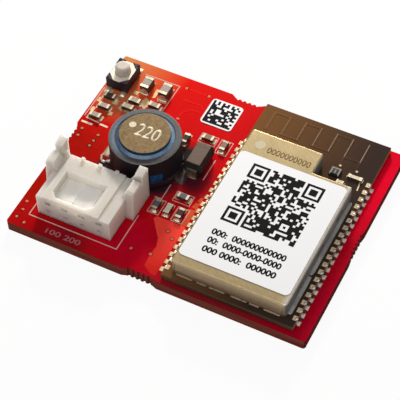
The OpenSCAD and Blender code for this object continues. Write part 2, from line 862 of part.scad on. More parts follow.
module feed_capacitor() {
    color("#cbbfa4") on_feed(filter_w / 2 + 2.4, filter_w + tiny_w / 2 + part_gap) chip(tiny_l, tiny_w, tiny_h);
}

module feed_link() {
    color("#d9cfb4") on_feed(filter_w / 2 + 3.9, link_w / 2) chip(link_l, link_w, tiny_h);
}

// Connector, from the front left foot of its box

module on_connector() {
    on_board(conn_x, conn_front) children();
}

// One ear seen from the side: a low front hump, a nick and a high back hump
module ear_profile() {
    nick_back = conn_d - hump_back_d;
    nick_front = nick_back - hump_nick_w;
    nick_z = hump_front_h - hump_nick_d;
    soften = 0.15;
    polygon([
        [ear_front, 0], [conn_d, 0], [conn_d, hump_back_h - soften], [conn_d - soften, hump_back_h],
        [nick_back, hump_back_h - hump_fall], [nick_back, nick_z], [nick_front, nick_z], [nick_front, hump_front_h],
        [ear_front + hump_lean + 2 * soften, hump_front_h - soften / 2],
        [ear_front + hump_lean, hump_front_h - 2 * soften]
    ]);
}

module ear() {
    translate([-ear_t, 0, 0]) along_x(ear_t) ear_profile();
    nick_back = conn_d - hump_back_d;
    root_y = ear_front + hump_lean;
    root_l = nick_back - hump_nick_w - root_y;
    foot_z = conn_box_h - shoulder_drop;
    translate([0, root_y, 0]) along_y(min(root_l, conn_box_d - root_y)) {
        polygon([[0, 0], [hump_root, foot_z], [0, hump_front_h - 0.2]]);
    }
    if (nick_back < conn_box_d) translate([0, nick_back, 0]) along_y(conn_box_d - nick_back) {
        polygon([[0, 0], [back_root, foot_z], [0, hump_back_h - hump_fall - 0.3]]);
    }
}

// Lowered shoulders at both sides of the box's top
module shoulders() {
    for (span = [[-1, shoulder_left + 1], [conn_box_w - shoulder_right, shoulder_right + 1]]) {
        translate([span[0], -1, conn_box_h - shoulder_drop]) cube([span[1], conn_box_d + 2, 1]);
    }
}

module pocket() {
    far = conn_box_w - pocket_right;
    back = pocket_wall + pocket_l;
    translate([0, 0, pocket_floor]) linear_extrude(conn_box_h) polygon([
        [pocket_left, pocket_wall + pocket_chamfer], [pocket_left + pocket_chamfer, pocket_wall],
        [far - pocket_chamfer, pocket_wall], [far, pocket_wall + pocket_chamfer],
        [far, back], [pocket_left, back]
    ]);
}

// Ramp at the right of the pocket and the ridges over the contacts
module pocket_floor_form() {
    far = conn_box_w - pocket_right;
    translate([0, pocket_wall + pocket_chamfer, 0]) along_y(pocket_l - pocket_chamfer) {
        polygon([[far - key_w, pocket_floor], [far, pocket_floor], [far, pocket_floor + key_h]]);
    }
    for (way = [0:conn_ways - 2]) {
        left = max(contact_x(way) - contact_w / 2, pocket_left);
        right = min(contact_x(way) + contact_w / 2 + 0.1, far);
        translate([left, pocket_wall, pocket_floor]) cube([right - left, pocket_l, ridge_h]);
    }
}

module contact_way() {
    way_w = contact_w + 2 * seat_gap;
    slot_w = contact_w + 4 * slide_gap;
    slot_h = contact_z + contact_t + 0.3;
    translate([-way_w / 2, -1, contact_z]) cube([way_w, conn_box_d + 1, contact_t + seat_gap]);
    translate([-slot_w / 2, conn_box_d - back_slot, -1]) cube([slot_w, back_slot + 1, slot_h + 1]);
    translate([-window_w / 2, -1, window_z - window_h / 2]) cube([window_w, pocket_wall + 1.5, window_h]);
}

module connector_housing() {
    color("#d8d4cc") on_connector() {
        difference() {
            union() {
                difference() {
                    cube([conn_box_w, conn_box_d, conn_box_h]);
                    shoulders();
                }
                ear();
                translate([conn_box_w, 0, 0]) mirror([1, 0, 0]) ear();
                for (way = [0:conn_ways - 2]) {
                    translate([contact_x(way) + conn_pitch / 2 - rib_w / 2, conn_box_d - rib_w, 0]) {
                        cube([rib_w, rib_w, conn_box_h + rib_h]);
                    }
                }
            }
            pocket();
            for (way = [0:conn_ways - 1]) translate([contact_x(way), 0, 0]) contact_way();
        }
        pocket_floor_form();
        translate([0, 0, -peg_l]) peg_places() cylinder(r = peg_r, h = peg_l);
    }
}

// One contact: a strip along its way, down the slot behind and out on a foot
module contact(way) {
    bend_y = conn_box_d - back_slot + slide_gap;
    foot_end = conn_box_d + foot_l;
    color("silver") on_connector() translate([contact_x(way) - contact_w / 2, 0, 0]) along_x(contact_w) {
        translate([contact_front, contact_z]) square([bend_y + contact_t - contact_front, contact_t]);
        translate([bend_y, land_t]) square([contact_t, contact_z + contact_t - land_t]);
        translate([bend_y, land_t]) square([foot_end - bend_y, contact_t]);
    }
}

// Push switch, from the middle of its foot

module on_switch(z = 0) {
    on_board(switch_x, switch_y, z) children();
}

module switch_feet() {
    color("silver") on_switch(land_t) switch_foot_places() {
        centred_box(switch_foot_w, 2 * switch_foot_l, switch_foot_t);
    }
}

module switch_base() {
    color("#2d1f29") on_switch(switch_z) difference() {
        union() {
            centred_box(switch_w, switch_d, switch_h);
            linear_extrude(switch_h + cover_t + post_rise) corner_posts();
        }
        translate([0, 0, switch_h - well_d]) cylinder(r = well_r, h = switch_h);
    }
}

// Posts in the four corners that the cover leaves free
module corner_posts() {
    leg = cover_cut + 2 * cover_inset - 2 * seat_gap;
    for (x = [-1, 1], y = [-1, 1]) scale([x, y]) translate([switch_w / 2, switch_d / 2]) {
        polygon([[0, 0], [-leg, 0], [0, -leg]]);
    }
}

// Spring dome: a thin cap of a sphere standing on the floor of the well
module switch_dome() {
    rim = well_r - slide_gap;
    sphere_r = (rim * rim + dome_h * dome_h) / (2 * dome_h);
    color("silver") on_switch(well_z) rotate_extrude() intersection() {
        difference() {
            translate([0, dome_h - sphere_r]) circle(sphere_r, $fn = 180);
            translate([0, dome_h - sphere_r]) circle(sphere_r - dome_t, $fn = 180);
        }
        square([rim, dome_h]);
    }
}

module cover_outline() {
    x = switch_w / 2 - cover_inset;
    y = switch_d / 2 - cover_inset;
    polygon([
        [x, y - cover_cut], [x - cover_cut, y], [cover_cut - x, y], [-x, y - cover_cut],
        [-x, cover_cut - y], [cover_cut - x, -y], [x - cover_cut, -y], [x, cover_cut - y]
    ]);
}

module switch_cover() {
    color("#d8d8d4") on_switch(cover_z) difference() {
        linear_extrude(cover_t) cover_outline();
        translate([0, 0, -1]) cylinder(r = button_r + slide_gap, h = cover_t + 2);
    }
}

// Button turned from one outline: foot, rim under the cover, stem and rounded crown
module switch_button() {
    rim_bottom = rim_top - button_rim_h;
    crown = button_top - button_round;
    color("#c3b8ad") on_switch() rotate_extrude() {
        translate([0, stem_foot]) square([0.6 * button_r, rim_bottom - stem_foot + 0.01]);
        translate([0, rim_bottom]) square([rim_r, button_rim_h]);
        translate([0, rim_bottom]) square([button_r, crown - rim_bottom]);
        square_crown = button_r - button_round;
        translate([0, crown]) square([square_crown, button_round]);
        translate([square_crown, crown]) intersection() {
            circle(button_round);
            square(button_round);
        }
    }
}

// Inductor, from the middle of its foot

module on_inductor(z = 0) {
    on_board(inductor_x, inductor_y, z) children();
}

module octagon(inner_r) {
    side = inner_r * tan(22.5);
    polygon([
        [inner_r, side], [side, inner_r], [-side, inner_r], [-inner_r, side],
        [-inner_r, -side], [-side, -inner_r], [side, -inner_r], [inner_r, -side]
    ]);
}

module inductor_base() {
    color("#1c1a1d") on_inductor(base_z) linear_extrude(base_h) octagon(base_r);
}

// Clip terminal: a sole under the base and an upright on its side
module clip_terminal() {
    upright = 0.75 * base_h + clip_t;
    translate([base_r - clip_l, -clip_w / 2, 0]) cube([clip_l + clip_t, clip_w, clip_t]);
    translate([base_r, -clip_w / 2, 0]) cube([clip_t, clip_w, upright]);
}

module inductor_terminal_right() {
    color("silver") on_inductor(land_t) clip_terminal();
}

module inductor_terminal_left() {
    color("silver") on_inductor(land_t) mirror([1, 0, 0]) clip_terminal();
}

module inductor_core() {
    core_h = inductor_top - core_z;
    color("#8a6c3c") on_inductor(core_z) {
        cylinder(r = core_r, h = flange_h);
        cylinder(r = hub_r, h = core_h);
        translate([0, 0, core_h - flange_h]) cylinder(r = core_r, h = flange_h);
    }
}

module inductor_winding() {
    coil_h = inductor_top - core_z - 2 * flange_h;
    color("#b4672f") on_inductor(core_z + flange_h) difference() {
        cylinder(r = core_r - winding_back, h = coil_h);
        translate([0, 0, -1]) cylinder(r = hub_r + seat_gap, h = coil_h + 2);
    }
}

module wire_gates(h) {
    for (turn = gate_turns) rotate(turn) translate([ring_r - 2 * ring_wall, -gate_w / 2, 0]) {
        cube([3 * ring_wall, gate_w, h]);
    }
}

module inductor_shield() {
    ring_h = ring_top - core_z;
    inner = ring_r - ring_wall;
    color("#6f87a5") on_inductor(core_z) difference() {
        rotate_extrude() polygon([
            [inner, 0], [ring_r, 0], [ring_r, ring_h - ring_chamfer], [ring_r - ring_chamfer, ring_h],
            [inner + ring_chamfer, ring_h], [inner, ring_h - ring_chamfer]
        ]);
        translate([0, 0, -1]) wire_gates(gate_h + 1);
    }
}

// Glue: a ring between core and shield, and a fill in each wire gate
module inductor_glue() {
    inner = core_r + seat_gap;
    outer = ring_r - ring_wall - seat_gap;
    top = ring_top - core_z - glue_drop;
    color("#1f4f96") on_inductor(core_z) {
        rotate_extrude() polygon([
            [inner, top - glue_h], [outer, top - glue_h], [outer, top], [inner, top + glue_rise]
        ]);
        for (turn = gate_turns) rotate(turn) translate([ring_r - ring_wall, -gate_w / 2 + seat_gap, 0]) {
            cube([0.6 * ring_wall, gate_w - 2 * seat_gap, gate_h - seat_gap]);
        }
    }
}

// Diode, from the middle of its foot

module on_diode(z = 0) {
    on_board(diode_x, diode_y, z) children();
}

// Outline with its widest line at half height and drafted above and below
module drafted(l, low, high) {
    middle = (low + high) / 2;
    polygon([
        [-l / 2 + diode_draft / 2, low], [l / 2 - diode_draft / 2, low], [l / 2, middle],
        [l / 2 - diode_draft, high], [-l / 2 + diode_draft, high], [-l / 2, middle]
    ]);
}

module diode_body() {
    low = land_t + diode_lead_t;
    high = land_t + diode_h;
    color("#3a2f2b") on_diode() intersection() {
        translate([-diode_w, 0, 0]) along_x(2 * diode_w) drafted(diode_d, low, high);
        translate([0, -diode_d, 0]) along_y(2 * diode_d) drafted(diode_w, low, high);
    }
}

module diode_lead() {
    middle = (diode_lead_t + diode_h) / 2;
    translate([-diode_lead_w / 2, 0, 0]) along_x(diode_lead_w) {
        translate([diode_d / 2, 0]) square([diode_lead_t, middle + diode_lead_t / 2]);
        translate([diode_d / 2 + diode_lead_t - diode_lead_l, 0]) square([diode_lead_l, diode_lead_t]);
    }
}

module diode_lead_back() {
    color("silver") on_diode(land_t) diode_lead();
}

module diode_lead_front() {
    color("silver") on_diode(land_t) mirror([0, 1, 0]) diode_lead();
}

// Regulator, from the middle of its foot

module on_regulator(z = 0) {
    on_board(regulator_x, regulator_y, z) children();
}

module regulator_body() {
    stand_off = regulator_lead_t;
    color("#232325") on_regulator(land_t + stand_off) difference() {
        centred_box(regulator_w, regulator_d, regulator_h);
        translate([-0.38 * regulator_w, -0.25 * regulator_d, 0.95 * regulator_h]) cylinder(r = 0.15, h = regulator_h);
    }
}

// Gull-wing lead: shoulder out of the body, down, and a foot
module gull_lead() {
    shoulder = land_t + regulator_lead_t + 0.4 * regulator_h;
    half = regulator_d / 2;
    bend = 0.3 * regulator_lead_l;
    translate([-regulator_lead_w / 2, 0, 0]) along_x(regulator_lead_w) {
        translate([half, shoulder]) square([bend + regulator_lead_t, regulator_lead_t]);
        translate([half + bend, land_t]) square([regulator_lead_t, shoulder + regulator_lead_t - land_t]);
        translate([half + bend, land_t]) square([regulator_lead_l - bend, regulator_lead_t]);
    }
}

module regulator_leads() {
    color("silver") on_regulator() for (i = [-1, 0, 1]) translate([i * regulator_pitch, 0, 0]) {
        gull_lead();
        mirror([0, 1, 0]) gull_lead();
    }
}

// Chip parts

function kind_l(kind) = kind == "big" ? big_l : chip_l;
function kind_w(kind) = kind == "big" ? big_w : chip_w;
function kind_h(kind) = kind == "big" ? big_h : chip_h;

module chip(l, w, h) {
    end_l = end_share * l;
    translate([0, 0, end_proud]) centred_box(l - 2 * end_l, w - 2 * end_proud, h - 2 * end_proud);
    for (side = [-1, 1]) translate([side * (l - end_l) / 2, 0, 0]) centred_box(end_l, w, h);
}

module chip_part(c) {
    color(c[1] == "big" ? "#b9b0a2" : "#57504c") on_board(c[2], c[3], land_t) rotate(c[4]) {
        chip(kind_l(c[1]), kind_w(c[1]), kind_h(c[1]));
    }
}

carrier_board();
carrier_lands();
module_board();
module_pads();
module_solder_left();
module_solder_right();
antenna_trace();
shield_can();
can_solder();
module_label();
code_label();
processor_chip();
flash_chip();
memory_chip();
clock_crystal();
module_chips();
feed_filter();
feed_capacitor();
feed_link();
connector_housing();
contact(0);  // contact_1
contact(1);  // contact_2
contact(2);  // contact_3
contact(3);  // contact_4
switch_base();
switch_feet();
switch_dome();
switch_cover();
switch_button();
inductor_base();
inductor_terminal_left();
inductor_terminal_right();
inductor_core();
inductor_winding();
inductor_shield();
inductor_glue();
diode_body();
diode_lead_front();
diode_lead_back();
regulator_body();
regulator_leads();
for (c = chips) chip_part(c);
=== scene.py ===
import math
import random

import bmesh
import bpy
from mathutils import Matrix, Vector


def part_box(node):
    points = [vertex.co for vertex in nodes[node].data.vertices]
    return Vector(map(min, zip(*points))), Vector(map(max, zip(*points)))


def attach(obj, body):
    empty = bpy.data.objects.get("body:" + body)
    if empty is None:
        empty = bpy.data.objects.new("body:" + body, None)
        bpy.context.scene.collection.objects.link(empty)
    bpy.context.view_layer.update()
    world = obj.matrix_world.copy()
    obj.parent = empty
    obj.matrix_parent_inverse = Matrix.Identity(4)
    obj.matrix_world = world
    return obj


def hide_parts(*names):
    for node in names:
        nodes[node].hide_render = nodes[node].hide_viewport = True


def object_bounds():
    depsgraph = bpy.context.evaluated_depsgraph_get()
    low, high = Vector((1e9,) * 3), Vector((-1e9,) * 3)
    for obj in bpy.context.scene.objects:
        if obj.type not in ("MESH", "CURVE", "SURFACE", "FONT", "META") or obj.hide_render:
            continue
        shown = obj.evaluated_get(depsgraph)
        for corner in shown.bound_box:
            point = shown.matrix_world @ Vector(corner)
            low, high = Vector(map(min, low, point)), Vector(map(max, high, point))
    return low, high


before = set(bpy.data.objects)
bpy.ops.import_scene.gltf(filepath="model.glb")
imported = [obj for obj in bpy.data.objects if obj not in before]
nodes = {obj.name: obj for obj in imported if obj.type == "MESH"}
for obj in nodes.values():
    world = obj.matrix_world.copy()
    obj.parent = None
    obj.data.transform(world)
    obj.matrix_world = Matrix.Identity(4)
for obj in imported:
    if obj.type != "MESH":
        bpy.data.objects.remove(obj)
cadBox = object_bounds()
scene = bpy.context.scene
mm = 0.001
boardLow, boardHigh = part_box("carrier_board")
print("frame loaded:", len(nodes), "nodes")


def spot(x, y, z=0.0):
    # millimetres from the carrier board's front left corner, z from its top
    return Vector((boardLow.x + x * mm, boardLow.y + y * mm, boardHigh.z + z * mm))


def inMillimetres(point):
    return (point.x - boardLow.x) / mm, (point.y - boardLow.y) / mm, (point.z - boardHigh.z) / mm


def boxOf(name):
    # a node's lowest and highest corners in the same millimetres
    low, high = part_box(name)
    return inMillimetres(low), inMillimetres(high)


def topOf(name):
    return boxOf(name)[1][2]


landTop = topOf("carrier_lands")


# node helpers

def setOrLink(tree, socket, value):
    if isinstance(value, (int, float)):
        socket.default_value = value
    else:
        tree.links.new(value, socket)


def mathNode(tree, operation, first, second=None, clamp=False):
    node = tree.nodes.new("ShaderNodeMath")
    node.operation = operation
    node.use_clamp = clamp
    setOrLink(tree, node.inputs[0], first)
    if second is not None:
        setOrLink(tree, node.inputs[1], second)
    return node.outputs[0]


def vectorNode(tree, operation, first, second):
    node = tree.nodes.new("ShaderNodeVectorMath")
    node.operation = operation
    tree.links.new(first, node.inputs[0])
    tree.links.new(second, node.inputs[1])
    return node.outputs


def spread(tree, value, low, high, toLow=0.0, toHigh=1.0):
    node = tree.nodes.new("ShaderNodeMapRange")
    labels = ("Value", "From Min", "From Max", "To Min", "To Max")
    for label, item in zip(labels, (value, low, high, toLow, toHigh)):
        setOrLink(tree, node.inputs[label], item)
    return node.outputs[0]


def mixShaders(tree, mask, first, second, output):
    mix = tree.nodes.new("ShaderNodeMixShader")
    for index, source in enumerate((mask, first, second)):
        tree.links.new(source, mix.inputs[index])
    tree.links.new(mix.outputs[0], tree.nodes[output].inputs["Surface"])


# camera and light

cameraView = {
    "azimuth": 28.035, "elevation": 51.995, "roll": -1.763, "distance": 0.196644,
    "aim": (-0.000625, -0.001254, 0.000183), "lens": 135.149, "sensor": 36, "nearest": 0.005,
}
lamps = {
    "keyLamp": {"azimuth": 201, "elevation": 27, "distance": 0.25, "size": 0.045, "power": 0.66,
                "colour": (1, 0.95, 0.88)},
    "fillLamp": {"azimuth": 38, "elevation": 18, "distance": 0.4, "size": 0.3, "power": 0.22,
                 "colour": (0.97, 0.98, 1)},
    "skyLamp": {"azimuth": 300, "elevation": 80, "distance": 0.5, "size": 0.3, "power": 0.62,
                "colour": (0.98, 0.98, 1)},
}
backdrop = {
    "ambient": 0.27, "ambientColour": (0.985, 0.985, 1, 1), "white": (1, 1, 1, 1), "shadow": 0.07,
    "floorColour": (0.9, 0.9, 0.9, 1), "floorRoughness": 0.9, "floorSize": 6, "floorGap": 0.00002,
}


def direction(azimuth, elevation):
    a, e = math.radians(azimuth), math.radians(elevation)
    return Vector((math.sin(a) * math.cos(e), -math.cos(a) * math.cos(e), math.sin(e)))


def addCamera(view):
    back = direction(view["azimuth"], view["elevation"])
    right = Vector((0, 0, 1)).cross(back).normalized()
    up = back.cross(right)
    roll = math.radians(view["roll"])
    turnedRight = math.cos(roll) * right + math.sin(roll) * up
    turnedUp = -math.sin(roll) * right + math.cos(roll) * up
    data = bpy.data.cameras.new("photoCamera")
    data.lens = view["lens"]
    data.sensor_width = view["sensor"]
    data.clip_start = view["nearest"]
    camera = bpy.data.objects.new("photoCamera", data)
    scene.collection.objects.link(camera)
    place = Vector(view["aim"]) + back * view["distance"]
    axes = Matrix((turnedRight, turnedUp, back)).transposed().to_4x4()
    camera.matrix_world = Matrix.Translation(place) @ axes
    scene.camera = camera


def addLamp(name, lamp):
    data = bpy.data.lights.new(name, "AREA")
    data.shape = "DISK"
    data.size = lamp["size"]
    data.energy = lamp["power"]
    data.color = lamp["colour"]
    light = bpy.data.objects.new(name, data)
    scene.collection.objects.link(light)
    toLamp = direction(lamp["azimuth"], lamp["elevation"])
    light.location = toLamp * lamp["distance"]
    light.rotation_euler = toLamp.to_track_quat("Z", "Y").to_euler()


def seenDirectly(tree):
    # one where the camera, a mirror or a clear piece looks straight at the surface
    path = tree.nodes.new("ShaderNodeLightPath")
    total = path.outputs["Is Camera Ray"]
    for label in ("Is Glossy Ray", "Is Transmission Ray"):
        total = mathNode(tree, "MAXIMUM", total, path.outputs[label])
    return total


def addWorld(plan):
    world = bpy.data.worlds.new("studioWorld")
    world.use_nodes = True
    tree = world.node_tree
    soft = tree.nodes["Background"]
    soft.inputs["Color"].default_value = plan["ambientColour"]
    soft.inputs["Strength"].default_value = plan["ambient"]
    white = tree.nodes.new("ShaderNodeBackground")
    white.inputs["Color"].default_value = plan["white"]
    mixShaders(tree, seenDirectly(tree), soft.outputs[0], white.outputs[0], "World Output")
    scene.world = world


def addFloor(plan):
    bpy.ops.mesh.primitive_plane_add(size=plan["floorSize"], location=(0, 0, cadBox[0].z - plan["floorGap"]))
    floor = bpy.context.object
    floor.name = "studioFloor"
    material = bpy.data.materials.new("floorWhite")
    material.use_nodes = True
    tree = material.node_tree
    shader = tree.nodes["Principled BSDF"]
    shader.inputs["Base Color"].default_value = plan["floorColour"]
    shader.inputs["Roughness"].default_value = plan["floorRoughness"]
    shader.inputs["Specular IOR Level"].default_value = 0
    glow = tree.nodes.new("ShaderNodeEmission")
    share = mathNode(tree, "MULTIPLY", seenDirectly(tree), 1 - plan["shadow"])
    mixShaders(tree, share, shader.outputs[0], glow.outputs[0], "Material Output")
    floor.data.materials.append(material)


scene.view_settings.view_transform = "Standard"
addCamera(cameraView)
for name, lamp in lamps.items():
    addLamp(name, lamp)
addWorld(backdrop)
addFloor(backdrop)
print("camera, lamps and floor set")


# shared surface effects, each a node group

noiseSpan = (0.3, 0.7)  # nearly all of a noise's values lie between these


def newGroup(name, inputs, outputs):
    group = bpy.data.node_groups.new(name, "ShaderNodeTree")
    for label, value in inputs.items():
        socket = group.interface.new_socket(label, in_out="INPUT", socket_type="NodeSocketFloat")
        socket.default_value = value
    for label in outputs:
        group.interface.new_socket(label, in_out="OUTPUT", socket_type="NodeSocketFloat")
    given = group.nodes.new("NodeGroupInput").outputs
    return group, given, group.nodes.new("NodeGroupOutput").inputs


def objectPlace(group):
    return group.nodes.new("ShaderNodeTexCoord").outputs["Object"]


def surfaceNormal(group):
    return group.nodes.new("ShaderNodeNewGeometry").outputs["Normal"]


def axisParts(group, vector):
    parts = group.nodes.new("ShaderNodeSeparateXYZ")
    group.links.new(vector, parts.inputs[0])
    return parts.outputs


def noiseNode(group, vector, scale, detail=2.0, roughness=0.5):
    noise = group.nodes.new("ShaderNodeTexNoise")
    noise.inputs["Detail"].default_value = detail
    noise.inputs["Roughness"].default_value = roughness
    group.links.new(vector, noise.inputs["Vector"])
    setOrLink(group, noise.inputs["Scale"], scale)
    return noise.outputs["Fac"]


def putTone(group, given, out, value, low, high):
    # a tone about one, as wide as the group's contrast, and the bare value as height
    darkest = mathNode(group, "SUBTRACT", 1.0, given["Contrast"])
    palest = mathNode(group, "ADD", 1.0, given["Contrast"])
    group.links.new(spread(group, value, low, high, darkest, palest), out["Tone"])
    group.links.new(value, out["Height"])


def putMask(group, given, out, value):
    group.links.new(mathNode(group, "MULTIPLY", value, given["Amount"], clamp=True), out["Mask"])


def makeSpeckle():
    # fine irregular tone and height of moulded, painted or fired surfaces
    group, given, out = newGroup("surfaceSpeckle", {"Scale": 3000, "Contrast": 0.1}, ("Tone", "Height"))
    cloud = noiseNode(group, objectPlace(group), given["Scale"], detail=5, roughness=0.62)
    putTone(group, given, out, cloud, *noiseSpan)
    return group


def makeBrushed():
    # long fine scratches, turned about the upright axis, or level streaks round a wall
    inputs = {"Scale": 900, "Across": 30, "Upright": 30, "Turn": 0, "Contrast": 0.1}
    group, given, out = newGroup("brushedLines", inputs, ("Tone", "Height"))
    turn = group.nodes.new("ShaderNodeVectorRotate")
    turn.rotation_type = "Z_AXIS"
    group.links.new(objectPlace(group), turn.inputs["Vector"])
    group.links.new(given["Turn"], turn.inputs["Angle"])
    size = group.nodes.new("ShaderNodeCombineXYZ")
    size.inputs["X"].default_value = 1
    group.links.new(given["Across"], size.inputs["Y"])
    group.links.new(given["Upright"], size.inputs["Z"])
    stretched = vectorNode(group, "MULTIPLY", turn.outputs[0], size.outputs[0])["Vector"]
    lines = noiseNode(group, stretched, given["Scale"], detail=4)
    putTone(group, given, out, lines, *noiseSpan)
    return group


def makeEdgeWear():
    # rubbed edges: where a rounded normal leaves the flat one
    inputs = {"Radius": 0.0001, "Amount": 1, "Scale": 4000}
    group, given, out = newGroup("edgeWear", inputs, ("Mask",))
    bevel = group.nodes.new("ShaderNodeBevel")
    bevel.samples = 4
    group.links.new(given["Radius"], bevel.inputs["Radius"])
    bend = vectorNode(group, "DOT_PRODUCT", bevel.outputs[0], surfaceNormal(group))["Value"]
    edge = spread(group, bend, 0.98, 0.8)
    patches = spread(group, noiseNode(group, objectPlace(group), given["Scale"]), 0.35, 0.65, 0.25, 1.0)
    putMask(group, given, out, mathNode(group, "MULTIPLY", edge, patches))
    return group


def makeDust():
    # fine dust that lies on faces turned upwards
    group, given, out = newGroup("lyingDust", {"Amount": 0.2, "Scale": 700}, ("Mask",))
    cloud = noiseNode(group, objectPlace(group), given["Scale"], detail=8, roughness=0.75)
    upwards = mathNode(group, "MAXIMUM", axisParts(group, surfaceNormal(group))["Z"], 0.0)
    putMask(group, given, out, mathNode(group, "MULTIPLY", spread(group, cloud, 0.45, 0.75), upwards))
    return group


def makeFacing():
    # how far a face is turned up or down, how far up alone, and how far to the right
    group, _, out = newGroup("faceTurn", {}, ("Flat", "Up", "Right"))
    normal = axisParts(group, surfaceNormal(group))
    group.links.new(spread(group, mathNode(group, "ABSOLUTE", normal["Z"]), 0.5, 0.85), out["Flat"])
    group.links.new(normal["Z"], out["Up"])
    group.links.new(normal["X"], out["Right"])
    return group


def makeSweep():
    # share of the way along a level line, from nought at its start to one at its end
    inputs = {"X": 0, "Y": 0, "Along X": 1, "Along Y": 0, "Noise": 0.3}
    group, given, out = newGroup("colourSweep", inputs, ("Mask",))
    place = objectPlace(group)
    parts = axisParts(group, place)
    shares = []
    for axis in ("X", "Y"):
        offset = mathNode(group, "SUBTRACT", parts[axis], given[axis])
        shares.append(mathNode(group, "MULTIPLY", offset, given["Along " + axis]))
    ripple = mathNode(group, "SUBTRACT", noiseNode(group, place, 130, detail=4), 0.5)
    stir = mathNode(group, "MULTIPLY", ripple, given["Noise"])
    total = mathNode(group, "ADD", *shares)
    group.links.new(mathNode(group, "ADD", total, stir, clamp=True), out["Mask"])
    return group


def makeHeight():
    # share of the way up between two heights
    group, given, out = newGroup("heightShare", {"Low": 0, "High": 0.001}, ("Mask",))
    height = axisParts(group, objectPlace(group))["Z"]
    group.links.new(spread(group, height, given["Low"], given["High"]), out["Mask"])
    return group


def makeAxisDistance():
    # distance from an upright axis, for turned parts and round places
    group, given, out = newGroup("axisDistance", {"X": 0, "Y": 0}, ("Distance",))
    parts = axisParts(group, objectPlace(group))
    squares = []
    for axis in ("X", "Y"):
        offset = mathNode(group, "SUBTRACT", parts[axis], given[axis])
        squares.append(mathNode(group, "POWER", offset, 2.0))
    group.links.new(mathNode(group, "SQRT", mathNode(group, "ADD", *squares)), out["Distance"])
    return group


def makeWeave():
    # glass cloth that shows faintly through the mask of a circuit board
    group, given, out = newGroup("glassWeave", {"Scale": 620, "Contrast": 0.025}, ("Tone", "Height"))
    place = objectPlace(group)
    waves = []
    for axis in ("X", "Y"):
        wave = group.nodes.new("ShaderNodeTexWave")
        wave.bands_direction = axis
        wave.inputs["Distortion"].default_value = 1.5
        wave.inputs["Detail Scale"].default_value = 2
        group.links.new(place, wave.inputs["Vector"])
        group.links.new(given["Scale"], wave.inputs["Scale"])
        waves.append(wave.outputs["Fac"])
    putTone(group, given, out, mathNode(group, "MULTIPLY", *waves), 0.0, 1.0)
    return group


speckleGroup = makeSpeckle()
brushedGroup = makeBrushed()
edgeGroup = makeEdgeWear()
dustGroup = makeDust()
facingGroup = makeFacing()
weaveGroup = makeWeave()
sweepGroup = makeSweep()
axisGroup = makeAxisDistance()
heightGroup = makeHeight()


# material helpers

def newMaterial(name, roughness, metallic=0.0, specular=0.16):
    material = bpy.data.materials.new(name)
    material.use_nodes = True
    tree = material.node_tree
    shader = tree.nodes["Principled BSDF"]
    shader.inputs["Roughness"].default_value = roughness
    shader.inputs["Specular IOR Level"].default_value = specular
    shader.inputs["Metallic"].default_value = metallic
    return material, tree, shader.inputs


def effect(tree, group, **values):
    node = tree.nodes.new("ShaderNodeGroup")
    node.node_tree = group
    for label, value in values.items():
        node.inputs[label].default_value = value
    return node.outputs


def colourMix(tree, mask, first, second, blend="MIX"):
    node = tree.nodes.new("ShaderNodeMix")
    node.data_type = "RGBA"
    node.blend_type = blend
    setOrLink(tree, node.inputs["Factor"], mask)
    for socket, value in ((node.inputs[6], first), (node.inputs[7], second)):
        if isinstance(value, tuple):
            socket.default_value = (*value, 1)
        else:
            tree.links.new(value, socket)
    return node.outputs[2]


def toned(tree, colour, *tones):
    for tone in tones:
        colour = colourMix(tree, 1.0, colour, tone, "MULTIPLY")
    return colour


def rubbed(tree, layer, colour, radius, amount):
    return colourMix(tree, effect(tree, edgeGroup, Radius=radius * mm, Amount=amount)["Mask"], layer, colour)


def dusted(tree, layer, colour, **values):
    return colourMix(tree, effect(tree, dustGroup, **values)["Mask"], layer, colour)


def lightened(colour, keep, lift):
    return tuple(min(1.0, keep * c + lift) for c in colour)


def addBump(tree, inputs, height, strength, depth):
    bump = tree.nodes.new("ShaderNodeBump")
    bump.inputs["Strength"].default_value = strength
    bump.inputs["Distance"].default_value = depth * mm
    tree.links.new(height, bump.inputs["Height"])
    tree.links.new(bump.outputs[0], inputs["Normal"])


def sweepMask(tree, line, noise=0.3):
    # line is a start and an end in millimetres from the board's corner
    start, end = spot(*line[0]), spot(*line[1])
    way = end - start
    share = way / way.length_squared
    values = {"X": start.x, "Y": start.y, "Along X": share.x, "Along Y": share.y, "Noise": noise}
    return effect(tree, sweepGroup, **values)["Mask"]


finishes = {}


# plastics and ceramics

